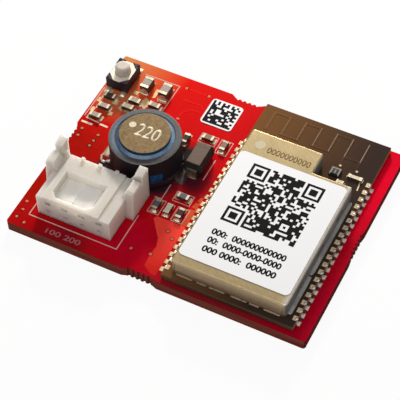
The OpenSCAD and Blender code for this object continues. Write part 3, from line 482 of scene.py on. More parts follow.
plasticFinishes = {
    "tentedVia": {"colour": (0.54, 0.25, 0.12), "roughness": 0.35, "contrast": 0.2, "wear": 0.0, "dust": 0.0},
    # finish of the painted highlights on the antenna's line edges
    "antennaEdgeHighlight": {"colour": (0.29, 0.205, 0.14), "roughness": 0.4, "contrast": 0.3, "wear": 0.0,
                    "dust": 0.0, "gloss": 0.05},
    "labelFilm": {"colour": (0.90, 0.905, 0.915), "roughness": 0.5, "grain": 9000, "contrast": 0.02,
                  "bump": 0.05, "dust": 0.0, "wear": 0.2},
    "chipMould": {"colour": (0.02, 0.02, 0.021), "roughness": 0.5},
    "diodeMould": {"colour": (0.098, 0.052, 0.029), "roughness": 0.45, "grain": 4200, "contrast": 0.16,
                   "bump": 0.3, "dust": 0.04, "gloss": 0.25},
    "tanCeramic": {"colour": (0.26, 0.17, 0.10), "roughness": 0.42, "grain": 5200, "contrast": 0.2},
    "paleCeramic": {"colour": (0.37, 0.33, 0.27), "roughness": 0.4, "grain": 4200, "contrast": 0.12},
    "duskCeramic": {"colour": (0.40, 0.34, 0.26), "roughness": 0.42, "grain": 5200, "contrast": 0.2},
    "greyCeramic": {"colour": (0.10, 0.105, 0.13), "roughness": 0.42, "grain": 5200, "contrast": 0.2},
    "creamCeramic": {"colour": (0.74, 0.65, 0.48), "roughness": 0.42, "grain": 5200, "contrast": 0.12},
    "resistorGlaze": {"colour": (0.03, 0.022, 0.022), "roughness": 0.3, "grain": 6000, "contrast": 0.25},
    "whiteNylon": {"colour": (0.68, 0.635, 0.565), "roughness": 0.42, "grain": 2600, "contrast": 0.035,
                   "bump": 0.12, "dust": 0.04, "wear": 0.2, "soaks": True},
    # a paler copy of the white nylon for the connector's pocket: painted light in the recess
    "pocketPaintedLightNylon": {"colour": (0.94, 0.89, 0.82), "roughness": 0.42, "grain": 2600, "contrast": 0.035,
                    "bump": 0.12, "dust": 0.04, "soaks": True},
    "blackNylon": {"colour": (0.030, 0.018, 0.026), "roughness": 0.42, "grain": 4200, "contrast": 0.2},
    "buttonGrey": {"colour": (0.64, 0.57, 0.50), "roughness": 0.4, "grain": 3600, "contrast": 0.05},
    "ferriteDisc": {"colour": (0.235, 0.15, 0.058), "roughness": 0.4, "grain": 2200, "contrast": 0.3,
                    "bump": 0.3, "dust": 0.08},
    "discSide": {"colour": (0.018, 0.042, 0.085), "roughness": 0.4, "grain": 2400, "contrast": 0.3,
                 "bump": 0.3, "dust": 0.05},
    "blueGlue": {"colour": (0.012, 0.085, 0.25), "roughness": 0.25, "grain": 1600, "contrast": 0.3,
                 "bump": 0.5, "wear": 0.05},
}
# light soaks into the nylon and softens its hollows
soaking = {"Subsurface Weight": 0.85, "Subsurface Radius": (1.0, 0.93, 0.85), "Subsurface Scale": 0.0022}


def plastic(name, colour, roughness, grain=5000, contrast=0.08, bump=0.15, dust=0.06, wear=0.15, gloss=0.16,
            soaks=False):
    # moulded or fired body: speckled colour, pale rubbed edges, a little dust on top
    material, tree, inputs = newMaterial(name, roughness, specular=gloss)
    speck = effect(tree, speckleGroup, Scale=grain, Contrast=contrast)
    paler = lightened(colour, keep=0.75, lift=0.22)
    layer = rubbed(tree, toned(tree, colour, speck["Tone"]), paler, radius=0.07, amount=wear)
    layer = dusted(tree, layer, lightened(colour, keep=0.6, lift=0.25), Amount=dust)
    tree.links.new(layer, inputs["Base Color"])
    tree.links.new(mathNode(tree, "MULTIPLY", speck["Tone"], roughness, clamp=True), inputs["Roughness"])
    addBump(tree, inputs, speck["Height"], bump, depth=0.04)
    if soaks:
        for label, value in soaking.items():
            inputs[label].default_value = value
    return material


for name, values in plasticFinishes.items():
    finishes[name] = plastic(name, **values)


# metals and solder

metalFinishes = {
    "tinnedLand": {"colour": (0.50, 0.36, 0.18), "roughness": 0.36, "shine": 0.4},
    "amberLand": {"colour": (0.60, 0.40, 0.19), "roughness": 0.4, "shine": 0.25},
    # a near-black copy of the tinned metal for metal in the inductor's shadow: painted shade
    "paintedShadeMetal": {"colour": (0.05, 0.036, 0.034), "roughness": 0.4, "shine": 0.2, "wear": 0.1},
    "brownLand": {"colour": (0.30, 0.17, 0.09), "roughness": 0.4, "shine": 0.3, "wear": 0.1},
    "goldPad": {"colour": (0.44, 0.335, 0.19), "roughness": 0.36, "shine": 0.5},
    "solder": {"colour": (0.66, 0.58, 0.44), "roughness": 0.26, "shine": 0.6, "grain": 1800, "contrast": 0.14,
               "bump": 0.4, "dull": 0.3},
    # a darker copy of the solder for joints in shade: painted shade
    "paintedShadeSolder": {"colour": (0.24, 0.18, 0.11), "roughness": 0.34, "shine": 0.4, "grain": 1800,
                   "contrast": 0.14, "bump": 0.4, "dull": 0.35},
    "brightSolder": {"colour": (0.43, 0.41, 0.40), "roughness": 0.3, "shine": 0.5, "grain": 1800,
                     "contrast": 0.1, "bump": 0.4},
    "greySolder": {"colour": (0.27, 0.26, 0.25), "roughness": 0.4, "shine": 0.3, "grain": 1800,
                   "contrast": 0.2, "bump": 0.4, "dull": 0.35, "wear": 0.1},
    "tinnedSheet": {"colour": (0.60, 0.52, 0.38), "roughness": 0.3, "shine": 0.5},
    "tanSheet": {"colour": (0.30, 0.235, 0.155), "roughness": 0.4, "shine": 0.4},
    # a dark copy of the chip ends for every side face of a chip: painted shade
    "paintedShadeChipSide": {"colour": (0.10, 0.06, 0.045), "roughness": 0.4, "shine": 0.2, "wear": 0.15},
    "coverSheet": {"colour": (0.74, 0.69, 0.58), "roughness": 0.3, "shine": 0.35, "contrast": 0.05,
                   "dull": 0.08},
    "copperWire": {"colour": (0.72, 0.3, 0.12), "roughness": 0.35, "shine": 0.9},
    "springSheet": {"colour": (0.66, 0.63, 0.58), "roughness": 0.3, "shine": 0.9},
}


def metal(name, colour, roughness, shine, grain=2500, contrast=0.12, bump=0.2, dull=0.25, wear=0.3):
    # tinned, plated or soldered metal: cloudy tone, duller patches and bright edges
    material, tree, inputs = newMaterial(name, roughness, metallic=shine)
    speck = effect(tree, speckleGroup, Scale=grain, Contrast=contrast)
    cloud = effect(tree, speckleGroup, Scale=grain / 6, Contrast=dull)
    layer = toned(tree, colour, speck["Tone"], cloud["Tone"])
    layer = rubbed(tree, layer, lightened(colour, keep=0.6, lift=0.38), radius=0.06, amount=wear)
    tree.links.new(layer, inputs["Base Color"])
    tree.links.new(mathNode(tree, "MULTIPLY", cloud["Tone"], roughness, clamp=True), inputs["Roughness"])
    addBump(tree, inputs, speck["Height"], bump, depth=0.03)
    return material


for name, values in metalFinishes.items():
    finishes[name] = metal(name, **values)


# inks and etched marks

inkFinishes = {
    "blackInk": {"colour": (0.006, 0.006, 0.007), "roughness": 0.55, "gloss": 0.03},
    "silkInk": {"colour": (0.62, 0.42, 0.36), "roughness": 0.6},
    "pinkInk": {"colour": (0.42, 0.13, 0.13), "roughness": 0.6},
    "creamInk": {"colour": (0.80, 0.70, 0.52), "roughness": 0.5},
    "frameInk": {"colour": (0.30, 0.27, 0.235), "roughness": 0.5},
    "etchedSheet": {"colour": (0.22, 0.135, 0.05), "roughness": 0.5},
    "paleEtch": {"colour": (0.60, 0.53, 0.37), "roughness": 0.5},
}


def printInk(name, colour, roughness, gloss=0.1):
    # screen-printed ink with slightly uneven cover
    material, tree, inputs = newMaterial(name, roughness, specular=gloss)
    speck = effect(tree, speckleGroup, Scale=7000, Contrast=0.12)
    tree.links.new(toned(tree, colour, speck["Tone"]), inputs["Base Color"])
    addBump(tree, inputs, speck["Height"], strength=0.1, depth=0.02)
    return material


for name, values in inkFinishes.items():
    finishes[name] = printInk(name, **values)


# circuit boards and the copper under their mask

# painted light and shade on the red: a painted warm sheen by the switch, painted light at the right, painted
# shadow round the connector and in front of it, in front of the radio module, round the diode, between the
# inductor and the diode and at the inductor's foot
paintedRedLightAndShade = (
    {"at": (0.5, 32.4), "core": 0.5, "radius": 10, "colour": (0.70, 0.24, 0.075)},
    {"at": (3.4, 24.6), "core": 1.2, "radius": 4.4, "colour": (0.60, 0.145, 0.06)},
    {"at": (44, 27), "core": 0, "radius": 13, "colour": (0.88, 0.0006, 0.026)},
    {"at": (15.5, 4.5), "core": 0.5, "radius": 5, "colour": (0.56, 0.0006, 0.020)},
    {"at": (0, 11), "core": 5.5, "radius": 13, "colour": (0.39, 0.006, 0.002)},
    {"at": (3.5, -1), "core": 1.5, "radius": 5.5, "colour": (0.37, 0.002, 0.004)},
    {"at": (8.2, 0.2), "core": 1.6, "radius": 4.6, "colour": (0.255, 0.004, 0.010)},
    {"at": (28.5, 0.3), "core": 4, "radius": 9.5, "colour": (0.25, 0.009, 0.015)},
    {"at": (18.7, 16.4), "core": 0.8, "radius": 3.6, "colour": (0.075, 0.008, 0.016)},
    {"at": (15.9, 19.4), "core": 1.5, "radius": 2.9, "colour": (0.03, 0.022, 0.022)},
    {"at": (14.9, 13.9), "core": 1.3, "radius": 2.9, "colour": (0.04, 0.014, 0.022)},
    {"at": (7.3, 13.8), "core": 0.9, "radius": 1.9, "colour": (0.035, 0.016, 0.014)},
)
# the red is painted darker towards the front right and lighter towards the back left, the module's brown
# darker at its right and lighter at its left: painted light falling across the boards
redPaintedLightSweep = ((36, 4), (8, 31))
brownPaintedLightSweep = ((38, 28), (22.5, 30))
copperEdge = ((0.4, 0.004, 0.01), (0.4, 0.004, 0.01))
boardFinishes = {
    "redMask": {"faces": ((0.40, 0.0008, 0.015), (0.76, 0.006, 0.003)), "paintedLightSweep": redPaintedLightSweep,
                "paintedLightPlaces": paintedRedLightAndShade, "edges": ((0.12, 0.019, 0.014), (0.26, 0.075, 0.050)),
                "rightEdgePaintedLight": (0.11, 0.010, 0.010)},
    "maskedCopper": {"faces": ((0.46, 0.002, 0.017), (0.84, 0.012, 0.006)), "paintedLightSweep": redPaintedLightSweep,
                     "paintedLightPlaces": paintedRedLightAndShade, "edges": copperEdge},
    # the next two are thin plates of painted light on the red, not copper
    "paintedPoolRed": {"faces": ((0.58, 0.016, 0.011), (0.98, 0.066, 0.047)), "paintedLightSweep": ((20, 1), (18, 6)),
                   "edges": copperEdge},
    "paintedStripRed": {"faces": ((0.62, 0.05, 0.022), (0.66, 0.10, 0.034)), "paintedLightSweep": ((21, 8), (21, 11)),
                   "edges": copperEdge},
    "brownMask": {"faces": ((0.042, 0.027, 0.021), (0.19, 0.085, 0.028)), "paintedLightSweep": brownPaintedLightSweep,
                  "edges": ((0.05, 0.03, 0.02), (0.15, 0.09, 0.05)), "rightEdgePaintedLight": (0.30, 0.145, 0.075)},
    "antennaCopper": {"faces": ((0.05, 0.032, 0.024), (0.205, 0.093, 0.031)), "paintedLightSweep": brownPaintedLightSweep,
                      "edges": ((0.13, 0.08, 0.05), (0.18, 0.10, 0.06))},
}
maskGloss = {"roughness": 0.35, "edgeRoughness": 0.8, "specular": 0.01, "dust": (0.6, 0.35, 0.3)}


def maskedBoard(name, faces, paintedLightSweep, edges, paintedLightPlaces=(), rightEdgePaintedLight=None):
    # masked faces with painted light swept across them and painted light and shade at round places, faint
    # glass cloth, layered sawn laminate on the edges, right-facing edges painted apart as painted light
    material, tree, inputs = newMaterial(name, maskGloss["roughness"], specular=maskGloss["specular"])
    weave = effect(tree, weaveGroup)
    fine = effect(tree, speckleGroup, Scale=4000, Contrast=0.05)
    # painted light swept across the faces, then painted light and shade at the round places
    face = colourMix(tree, sweepMask(tree, paintedLightSweep), *faces)
    for place in paintedLightPlaces:
        middle = spot(*place["at"])
        away = effect(tree, axisGroup, X=middle.x, Y=middle.y)["Distance"]
        near = spread(tree, away, place["core"] * mm, place["radius"] * mm, 1.0, 0.0)
        face = colourMix(tree, near, face, place["colour"])
    face = toned(tree, face, weave["Tone"], fine["Tone"])
    layers = effect(tree, brushedGroup, Scale=60, Across=1, Upright=90, Contrast=0.3)["Height"]
    edge = toned(tree, colourMix(tree, spread(tree, layers, 0.4, 0.6), *edges), fine["Tone"])
    facing = effect(tree, facingGroup)
    # right-facing edges take their own colour: painted shade on the red board's right edge, a painted
    # highlight on the module's
    if rightEdgePaintedLight:
        right = spread(tree, facing["Right"], 0.4, 0.8)
        edge = colourMix(tree, right, edge, toned(tree, rightEdgePaintedLight, fine["Tone"]))
    layer = colourMix(tree, facing["Flat"], edge, face)
    layer = dusted(tree, layer, maskGloss["dust"], Amount=0.01, Scale=900)
    tree.links.new(layer, inputs["Base Color"])
    gloss = spread(tree, facing["Flat"], 0.0, 1.0, maskGloss["edgeRoughness"], maskGloss["roughness"])
    tree.links.new(gloss, inputs["Roughness"])
    addBump(tree, inputs, weave["Height"], strength=0.06, depth=0.02)
    return material


for name, values in boardFinishes.items():
    finishes[name] = maskedBoard(name, **values)


# drawn sheet of the shield can

# foot is painted shade at the bottom of the walls; right and margin are painted reflection
canColoursAndPaintedLight = {
    "top": (0.26, 0.20, 0.105), "margin": (0.36, 0.335, 0.29), "wall": (0.56, 0.42, 0.25),
    "foot": (0.16, 0.09, 0.055), "right": (0.16, 0.15, 0.14), "edge": (0.50, 0.44, 0.32),
    "reflectionMarginLine": ((37.9, 12), (38.6, 12)),
}


def canSheet(name, node, colours):
    # slanting rub marks on the gold top; walls painted darker towards the foot as painted shade, right-hand
    # walls painted grey and a pale margin by the top's right bend as painted reflection; level streaks that
    # are partly drawing marks and partly painted reflection stripes
    material, tree, inputs = newMaterial(name, roughness=0.4, metallic=0.6)
    rubs = effect(tree, brushedGroup, Scale=900, Across=8, Upright=8, Turn=0.6, Contrast=0.1)
    # level streaks round the walls: partly drawing marks, partly painted reflection stripes
    drawStreaksAndPaintedReflections = effect(tree, brushedGroup, Scale=45, Across=1, Upright=42, Contrast=0.4)
    fine = effect(tree, speckleGroup, Scale=2600, Contrast=0.07)
    cloud = effect(tree, speckleGroup, Scale=260, Contrast=0.1)
    facing = effect(tree, facingGroup)
    low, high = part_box(node)
    upWall = effect(tree, heightGroup, Low=low.z, High=high.z)["Mask"]
    # walls darken towards the foot as painted shade, right-facing walls turn grey as painted reflection
    wall = colourMix(tree, upWall, colours["foot"], colours["wall"])
    wall = colourMix(tree, spread(tree, facing["Right"], 0.4, 0.8), wall, colours["right"])
    # pale margin along the top's right bend: painted reflection
    margin = sweepMask(tree, colours["reflectionMarginLine"], noise=0.0)
    top = colourMix(tree, margin, colours["top"], colours["margin"])
    sheet = colourMix(tree, facing["Flat"], toned(tree, wall, drawStreaksAndPaintedReflections["Tone"]), toned(tree, top, rubs["Tone"]))
    sheet = toned(tree, sheet, fine["Tone"], cloud["Tone"])
    sheet = rubbed(tree, sheet, colours["edge"], radius=0.12, amount=0.3)
    tree.links.new(sheet, inputs["Base Color"])
    tree.links.new(spread(tree, facing["Flat"], 0.0, 1.0, 0.45, 0.75), inputs["Metallic"])
    tree.links.new(spread(tree, facing["Flat"], 0.0, 1.0, 0.5, 0.34), inputs["Roughness"])
    addBump(tree, inputs, rubs["Height"], strength=0.08, depth=0.03)
    return material


finishes["canSheet"] = canSheet("canSheet", "shield_can", canColoursAndPaintedLight)


# the inductor's glue and shield ring

glueColoursAndPaintedSheen = {"deep": (0.03, 0.08, 0.165), "pale": (0.15, 0.25, 0.385), "line": ((8.8, 14.4), (11.4, 14.8))}
# front, right and back colour the flat top as painted shade and light; the bevel colour also carries a
# painted highlight
ringColoursAndPaintedLight = {
    "side": (0.009, 0.007, 0.010), "bevel": (0.17, 0.155, 0.135), "inner": (0.145, 0.20, 0.275),
    "outer": (0.115, 0.135, 0.155), "front": (0.038, 0.038, 0.044), "right": (0.105, 0.11, 0.12),
    "back": (0.12, 0.14, 0.155), "dust": (0.4, 0.4, 0.38),
    "rightLine": ((13.6, 13.4), (15.2, 17.4)), "backLine": ((11.1, 17.9), (10.15, 19.7)),
}
glueStain = {"from": 0.0044, "to": 0.0046, "ragged": 0.0003}  # where the ring's blue rim ends, in metres


def glueFilm(name, colours):
    # set glue, deep blue at its left and paler blue towards the right, where the paler blue is a painted
    # sheen
    material, tree, inputs = newMaterial(name, roughness=0.28, specular=0.3)
    speck = effect(tree, speckleGroup, Scale=1500, Contrast=0.3)
    # deep blue at the left, paler towards the right as a painted sheen
    layer = colourMix(tree, sweepMask(tree, colours["line"]), colours["deep"], colours["pale"])
    tree.links.new(toned(tree, layer, speck["Tone"]), inputs["Base Color"])
    addBump(tree, inputs, speck["Height"], strength=0.5, depth=0.04)
    return material


def ringSheet(name, node, colours):
    # fired ring: dark sides, pale bevels that are partly ground surface and partly a painted highlight, a top
    # that goes from glue-stained blue to grey, painted dark at the front and greyer at the right and back as
    # painted shade and light
    material, tree, inputs = newMaterial(name, roughness=0.4)
    up = effect(tree, facingGroup)["Up"]
    speck = effect(tree, speckleGroup, Scale=2600, Contrast=0.18)
    bevelMask = spread(tree, up, 0.3, 0.6)
    topMask = spread(tree, up, 0.85, 0.97)
    middle = (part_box(node)[0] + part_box(node)[1]) / 2
    distance = effect(tree, axisGroup, X=middle.x, Y=middle.y)["Distance"]
    ragged = mathNode(tree, "MULTIPLY", speck["Height"], glueStain["ragged"])
    stain = spread(tree, mathNode(tree, "ADD", distance, ragged), glueStain["from"], glueStain["to"])
    leftTop = colourMix(tree, stain, colours["inner"], colours["outer"])
    # the right part of the top is painted dark at the front and greyer round the right, the back greyer
    # again: painted shade and light
    paintedShadeRightTop = colourMix(tree, sweepMask(tree, colours["rightLine"]), colours["front"], colours["right"])
    top = colourMix(tree, sweepMask(tree, glueColoursAndPaintedSheen["line"]), leftTop, paintedShadeRightTop)
    top = colourMix(tree, sweepMask(tree, colours["backLine"]), top, colours["back"])
    layer = colourMix(tree, topMask, colourMix(tree, bevelMask, colours["side"], colours["bevel"]), top)
    layer = dusted(tree, toned(tree, layer, speck["Tone"]), colours["dust"], Amount=0.1, Scale=1200)
    tree.links.new(layer, inputs["Base Color"])
    tree.links.new(spread(tree, topMask, 0.0, 1.0, 0.5, 0.32), inputs["Roughness"])
    addBump(tree, inputs, speck["Height"], strength=0.2, depth=0.04)
    return material


finishes["glueRing"] = glueFilm("glueRing", glueColoursAndPaintedSheen)
finishes["ferriteRing"] = ringSheet("ferriteRing", "inductor_shield", ringColoursAndPaintedLight)
print("finishes made:", len(finishes))


# finishes of the CAD nodes

nodeFinish = {
    "carrier_board": "redMask", "carrier_lands": "tinnedLand", "module_board": "brownMask",
    "module_pads": "goldPad", "antenna_trace": "antennaCopper", "shield_can": "canSheet",
    "can_solder": "paintedShadeSolder", "module_label": "labelFilm", "code_label": "labelFilm",
    "processor_chip": "chipMould", "flash_chip": "chipMould", "memory_chip": "chipMould",
    "clock_crystal": "tinnedSheet", "module_chips": "tanCeramic", "feed_filter": "chipMould",
    # the contacts take the darker tan sheet: painted shade inside the connector's housing
    "connector_housing": "whiteNylon", "contact_1": "tanSheet", "contact_2": "tanSheet",
    "contact_3": "tanSheet", "contact_4": "tanSheet", "switch_base": "blackNylon",
    "switch_feet": "tinnedSheet", "switch_dome": "springSheet", "switch_cover": "coverSheet",
    "switch_button": "buttonGrey", "inductor_base": "blackNylon", "inductor_terminal_left": "tanSheet",
    "inductor_terminal_right": "paintedShadeMetal", "inductor_core": "ferriteDisc", "inductor_winding": "copperWire",
    "inductor_shield": "ferriteRing", "inductor_glue": "blueGlue", "diode_body": "diodeMould",
    "diode_lead_front": "paintedShadeSolder", "diode_lead_back": "tinnedSheet", "regulator_body": "chipMould",
    "regulator_leads": "tinnedSheet", "module_solder_left": "solder", "module_solder_right": "solder",
}
chipFinish = {
    "input_capacitor": "paleCeramic", "output_capacitor": "paleCeramic", "pull_up_resistor": "resistorGlaze",
    "reset_resistor": "duskCeramic", "reset_capacitor": "duskCeramic", "bypass_capacitor_1": "duskCeramic",
    "bypass_capacitor_2": "duskCeramic", "feedback_resistor": "duskCeramic",
    "boost_capacitor": "resistorGlaze", "ripple_capacitor": "tanCeramic", "divider_resistor": "tanCeramic",
    "series_resistor": "greyCeramic", "strap_resistor_1": "greyCeramic", "module_capacitor": "creamCeramic",
    "strap_resistor_2": "resistorGlaze", "feed_capacitor": "creamCeramic", "feed_link": "creamCeramic",
}
# width in millimetres and segments of each rounded edge
softEdges = {
    "connector_housing": (0.12, 2), "inductor_base": (0.1, 2), "switch_base": (0.05, 2),
    "switch_cover": (0.03, 1), "diode_body": (0.07, 2), "regulator_body": (0.04, 1),
    "inductor_core": (0.05, 2), "feed_filter": (0.04, 1),
}
chipEdges = {"capacitor": (0.05, 2), "other": (0.03, 1)}
rounding = {"merge": 0.000001, "flatWithin": 1, "sharpOver": 40}  # metres, then degrees
endShare = 0.22  # plated share of a chip's length at each end
# glue less than 0.9 mm under the shield ring's top is the pale ring, the rest fills the gates
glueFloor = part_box("inductor_shield")[1].z - 0.9 * mm
pocketFloor = ((4.7, 3.6, 1.5), (10.9, 8.3, 2.9))
landMargin = {"left": 1.2, "right": 1.5, "ends": 1.0}  # how far a land reaches past its lead


def setFinish(name, finish):
    nodes[name].data.materials.clear()
    nodes[name].data.materials.append(finishes[finish])


def paintFaces(name, finish, chosen):
    # a further finish on the faces of a CAD node that the test picks
    mesh = nodes[name].data
    mesh.materials.append(finishes[finish])
    for face in mesh.polygons:
        if chosen(face):
            face.material_index = len(mesh.materials) - 1


def softenEdges(name, width, segments):
    piece = nodes[name]
    weld = piece.modifiers.new("joinFaces", "WELD")
    weld.merge_threshold = rounding["merge"]
    flat = piece.modifiers.new("cleanFaces", "DECIMATE")
    flat.decimate_type = "DISSOLVE"
    flat.angle_limit = math.radians(rounding["flatWithin"])
    bevel = piece.modifiers.new("softEdge", "BEVEL")
    bevel.width = width * mm
    bevel.segments = segments
    bevel.limit_method = "ANGLE"
    bevel.angle_limit = math.radians(rounding["sharpOver"])
    bevel.harden_normals = False


def longWay(name):
    low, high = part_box(name)
    return 0 if high.x - low.x > high.y - low.y else 1


def isSide(face, steepest=0.5):
    return abs(face.normal.z) < steepest


def isGlueRing(face):
    return face.center.z > glueFloor and face.normal.z > 0.05


def isPocketFloor(face):
    low, high = pocketFloor
    return all(least < at < most for least, at, most in zip(low, inMillimetres(face.center), high))


def landOf(*leads):
    # test for the faces of the lands that carry these leads
    boxes = [boxOf(lead) for lead in leads]

    def isLand(face):
        x, y, _ = inMillimetres(face.center)
        return any(lx - landMargin["left"] < x < hx + landMargin["right"]
                   and ly - landMargin["ends"] < y < hy + landMargin["ends"]
                   for (lx, ly, _), (hx, hy, _) in boxes)

    return isLand


def finishChip(name, finish):
    low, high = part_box(name)
    axis = longWay(name)
    middle = (high[axis] + low[axis]) / 2
    reach = (high[axis] - low[axis]) * (0.5 - endShare)
    setFinish(name, finish)
    paintFaces(name, "tinnedSheet", lambda face: abs(face.center[axis] - middle) > reach)
    # every side face of a chip gets the dark finish: painted shade on the chip's sides
    paintFaces(name, "paintedShadeChipSide", isSide)
    softenEdges(name, *chipEdges["capacitor" if "capacitor" in name else "other"])


for name, finish in nodeFinish.items():
    setFinish(name, finish)
for name, finish in chipFinish.items():
    finishChip(name, finish)
for name, (width, segments) in softEdges.items():
    softenEdges(name, width, segments)
paintFaces("inductor_core", "discSide", isSide)
paintFaces("inductor_glue", "glueRing", isGlueRing)
# the diode's top and sides are two copies of one moulding, a browner top and black sides: painted light and
# shade
paintFaces("diode_body", "chipMould", lambda face: isSide(face, steepest=0.6))
# the pocket's faces take the paler nylon: painted light in the recess
paintFaces("connector_housing", "pocketPaintedLightNylon", isPocketFloor)
# lands under the inductor's right terminal and the diode's front lead are painted dark: painted shade
paintFaces("carrier_lands", "paintedShadeMetal", landOf("inductor_terminal_right", "diode_lead_front"))
paintFaces("carrier_lands", "brownLand", landOf("inductor_terminal_left"))
print("CAD nodes finished")


# mesh helpers, in millimetres from the board's corner

longestMitre = 2.5  # half widths that a ribbon's bend may stick out
filletSides = {"reach": 0.55, "height": 0.25}  # shares of a fillet's middle that its two sides have


def between(least, share):
    return least + (1 - least) * share


def rectangle(lx, ly, hx, hy):
    return [(lx, ly), (hx, ly), (hx, hy), (lx, hy)]


def circlePoints(x, y, radius, count):
    angles = [2 * math.pi * i / count for i in range(count)]
    return [(x + radius * math.cos(angle), y + radius * math.sin(angle)) for angle in angles]


def addPrism(bm, outline, low, high):
    lower = [bm.verts.new(spot(x, y, low)) for x, y in outline]
    upper = [bm.verts.new(spot(x, y, high)) for x, y in outline]
    bm.faces.new(upper)
    bm.faces.new(lower[::-1])
    for i in range(len(outline)):
        j = (i + 1) % len(outline)
        bm.faces.new((lower[i], lower[j], upper[j], upper[i]))


def addRibbon(bm, points, width, low, high):
    # flat strip along a line of points, with mitred bends
    points = [Vector(p) for p in points]
    left, right = [], []
    for i, point in enumerate(points):
        before = (point - points[i - 1]).normalized() if i else None
        after = (points[i + 1] - point).normalized() if i < len(points) - 1 else None
        way = (before or after) + (after or before)
        way.normalize()
        across = Vector((-way.y, way.x))
        bend = across.dot(Vector((-(before or after).y, (before or after).x)))
        half = width / 2 / max(bend, 1 / longestMitre)
        left.append(tuple(point + across * half))
        right.append(tuple(point - across * half))
    for i in range(len(points) - 1):
        addPrism(bm, [right[i], right[i + 1], left[i + 1], left[i]], low, high)


def addDisc(bm, x, y, radius, low, high, count):
    addPrism(bm, circlePoints(x, y, radius, count), low, high)


def addRing(bm, x, y, inner, outer, low, high, count):
    rings = []
    for radius, z in ((inner, low), (outer, low), (outer, high), (inner, high)):
        rings.append([bm.verts.new(spot(px, py, z)) for px, py in circlePoints(x, y, radius, count)])
    for k in range(4):
        for i in range(count):
            j = (i + 1) % count
            bm.faces.new((rings[k][i], rings[k][j], rings[(k + 1) % 4][j], rings[(k + 1) % 4][i]))


def addFillet(bm, x, y, out, width, reach, height, floor, across=8, steps=6, sharp=3):
    # hollow-sided solder between an upright face and its land; out is the way it runs
    out = Vector(out).normalized()
    side = Vector((-out.y, out.x))
    grid = []
    for i in range(across + 1):
        s = 2 * i / across - 1
        full = 1 - abs(s) ** sharp
        rowReach = reach * between(filletSides["reach"], full)
        rowHeight = height * between(filletSides["height"], full)
        row = []
        for j in range(steps + 1):
            t = j / steps
            foot = Vector((x, y)) + side * (s * width / 2) + out * (t * rowReach)
            row.append(bm.verts.new(spot(foot.x, foot.y, floor + rowHeight * (1 - t) ** 2)))
        grid.append(row)
    for i in range(across):
        for j in range(steps):
            face = bm.faces.new((grid[i][j], grid[i][j + 1], grid[i + 1][j + 1], grid[i + 1][j]))
            face.smooth = True
    for row in (grid[0], grid[-1]):
        base = [bm.verts.new((v.co.x, v.co.y, boardHigh.z + floor * mm)) for v in (row[0], row[-1])]
        bm.faces.new(row + [base[1], base[0]])


def joinInto(bm, part):
    mesh = bpy.data.meshes.new("part")
    part.to_mesh(mesh)
    part.free()
    bm.from_mesh(mesh)
    bpy.data.meshes.remove(mesh)


def addBead(bm, x, y, z, rx, ry, rz):
    bead = bmesh.new()
    bmesh.ops.create_uvsphere(bead, u_segments=14, v_segments=8, radius=1)
    for vert in bead.verts:
        vert.co = spot(x + vert.co.x * rx, y + vert.co.y * ry, z + vert.co.z * rz)
    joinInto(bm, bead)


def textMesh(words, bold):
    curve = bpy.data.curves.new("words", "FONT")
    curve.body = words
    curve.size = 1
    curve.offset = bold
    curve.align_x = "LEFT"
    writing = bpy.data.objects.new("words", curve)
    scene.collection.objects.link(writing)
    bpy.context.view_layer.update()
    depsgraph = bpy.context.evaluated_depsgraph_get()
    mesh = bpy.data.meshes.new_from_object(writing.evaluated_get(depsgraph))
    bpy.data.objects.remove(writing)
    return mesh


def addWriting(bm, words, x, y, width, height, low, high, bold):
    # figures set into a box whose lower left corner is at x, y
    mesh = textMesh(words, bold)
    xs = [v.co.x for v in mesh.vertices]
    ys = [v.co.y for v in mesh.vertices]
    sx, sy = width / (max(xs) - min(xs)), height / (max(ys) - min(ys))
    part = bmesh.new()
    part.from_mesh(mesh)
    bpy.data.meshes.remove(mesh)
    made = bmesh.ops.extrude_face_region(part, geom=part.faces[:])
    raised = {v for v in made["geom"] if isinstance(v, bmesh.types.BMVert)}
    for vert in part.verts:
        px, py = x + (vert.co.x - min(xs)) * sx, y + (vert.co.y - min(ys)) * sy
        vert.co = spot(px, py, high if vert in raised else low)
    bmesh.ops.recalc_face_normals(part, faces=part.faces[:])
    joinInto(bm, part)


def addPiece(name, bm, finish, smooth=False):
    bmesh.ops.recalc_face_normals(bm, faces=bm.faces[:])
    mesh = bpy.data.meshes.new(name)
    bm.to_mesh(mesh)
    bm.free()
    piece = bpy.data.objects.new(name, mesh)
    scene.collection.objects.link(piece)
    mesh.materials.append(finishes[finish])
    if smooth:
        for face in mesh.polygons:
            face.use_smooth = True
    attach(piece, "board")
    print("piece", name, len(mesh.polygons), "faces")
    return piece


def addPlates(name, outlines, low, high, finish):
    bm = bmesh.new()
    for outline in outlines:
        addPrism(bm, outline, low, high)
    addPiece(name, bm, finish)


# solder of the radio module's edge contacts

edgeSolder = {
    "pitch": 1.27, "pin": 0.56, "reach": {-1: 0.62, 1: 0.42}, "height": 0.55, "swell": (0.9, 1.08),
    "rise": (0.85, 1.0), "bead": (0.2, 0.22, 0.07), "beadIn": 0.06, "beadDrop": 0.02, "seed": 11,
    "finish": {-1: "solder", 1: "brightSolder"},
}
edgeShadeStrip = {"reach": 0.3, "thick": 0.03}


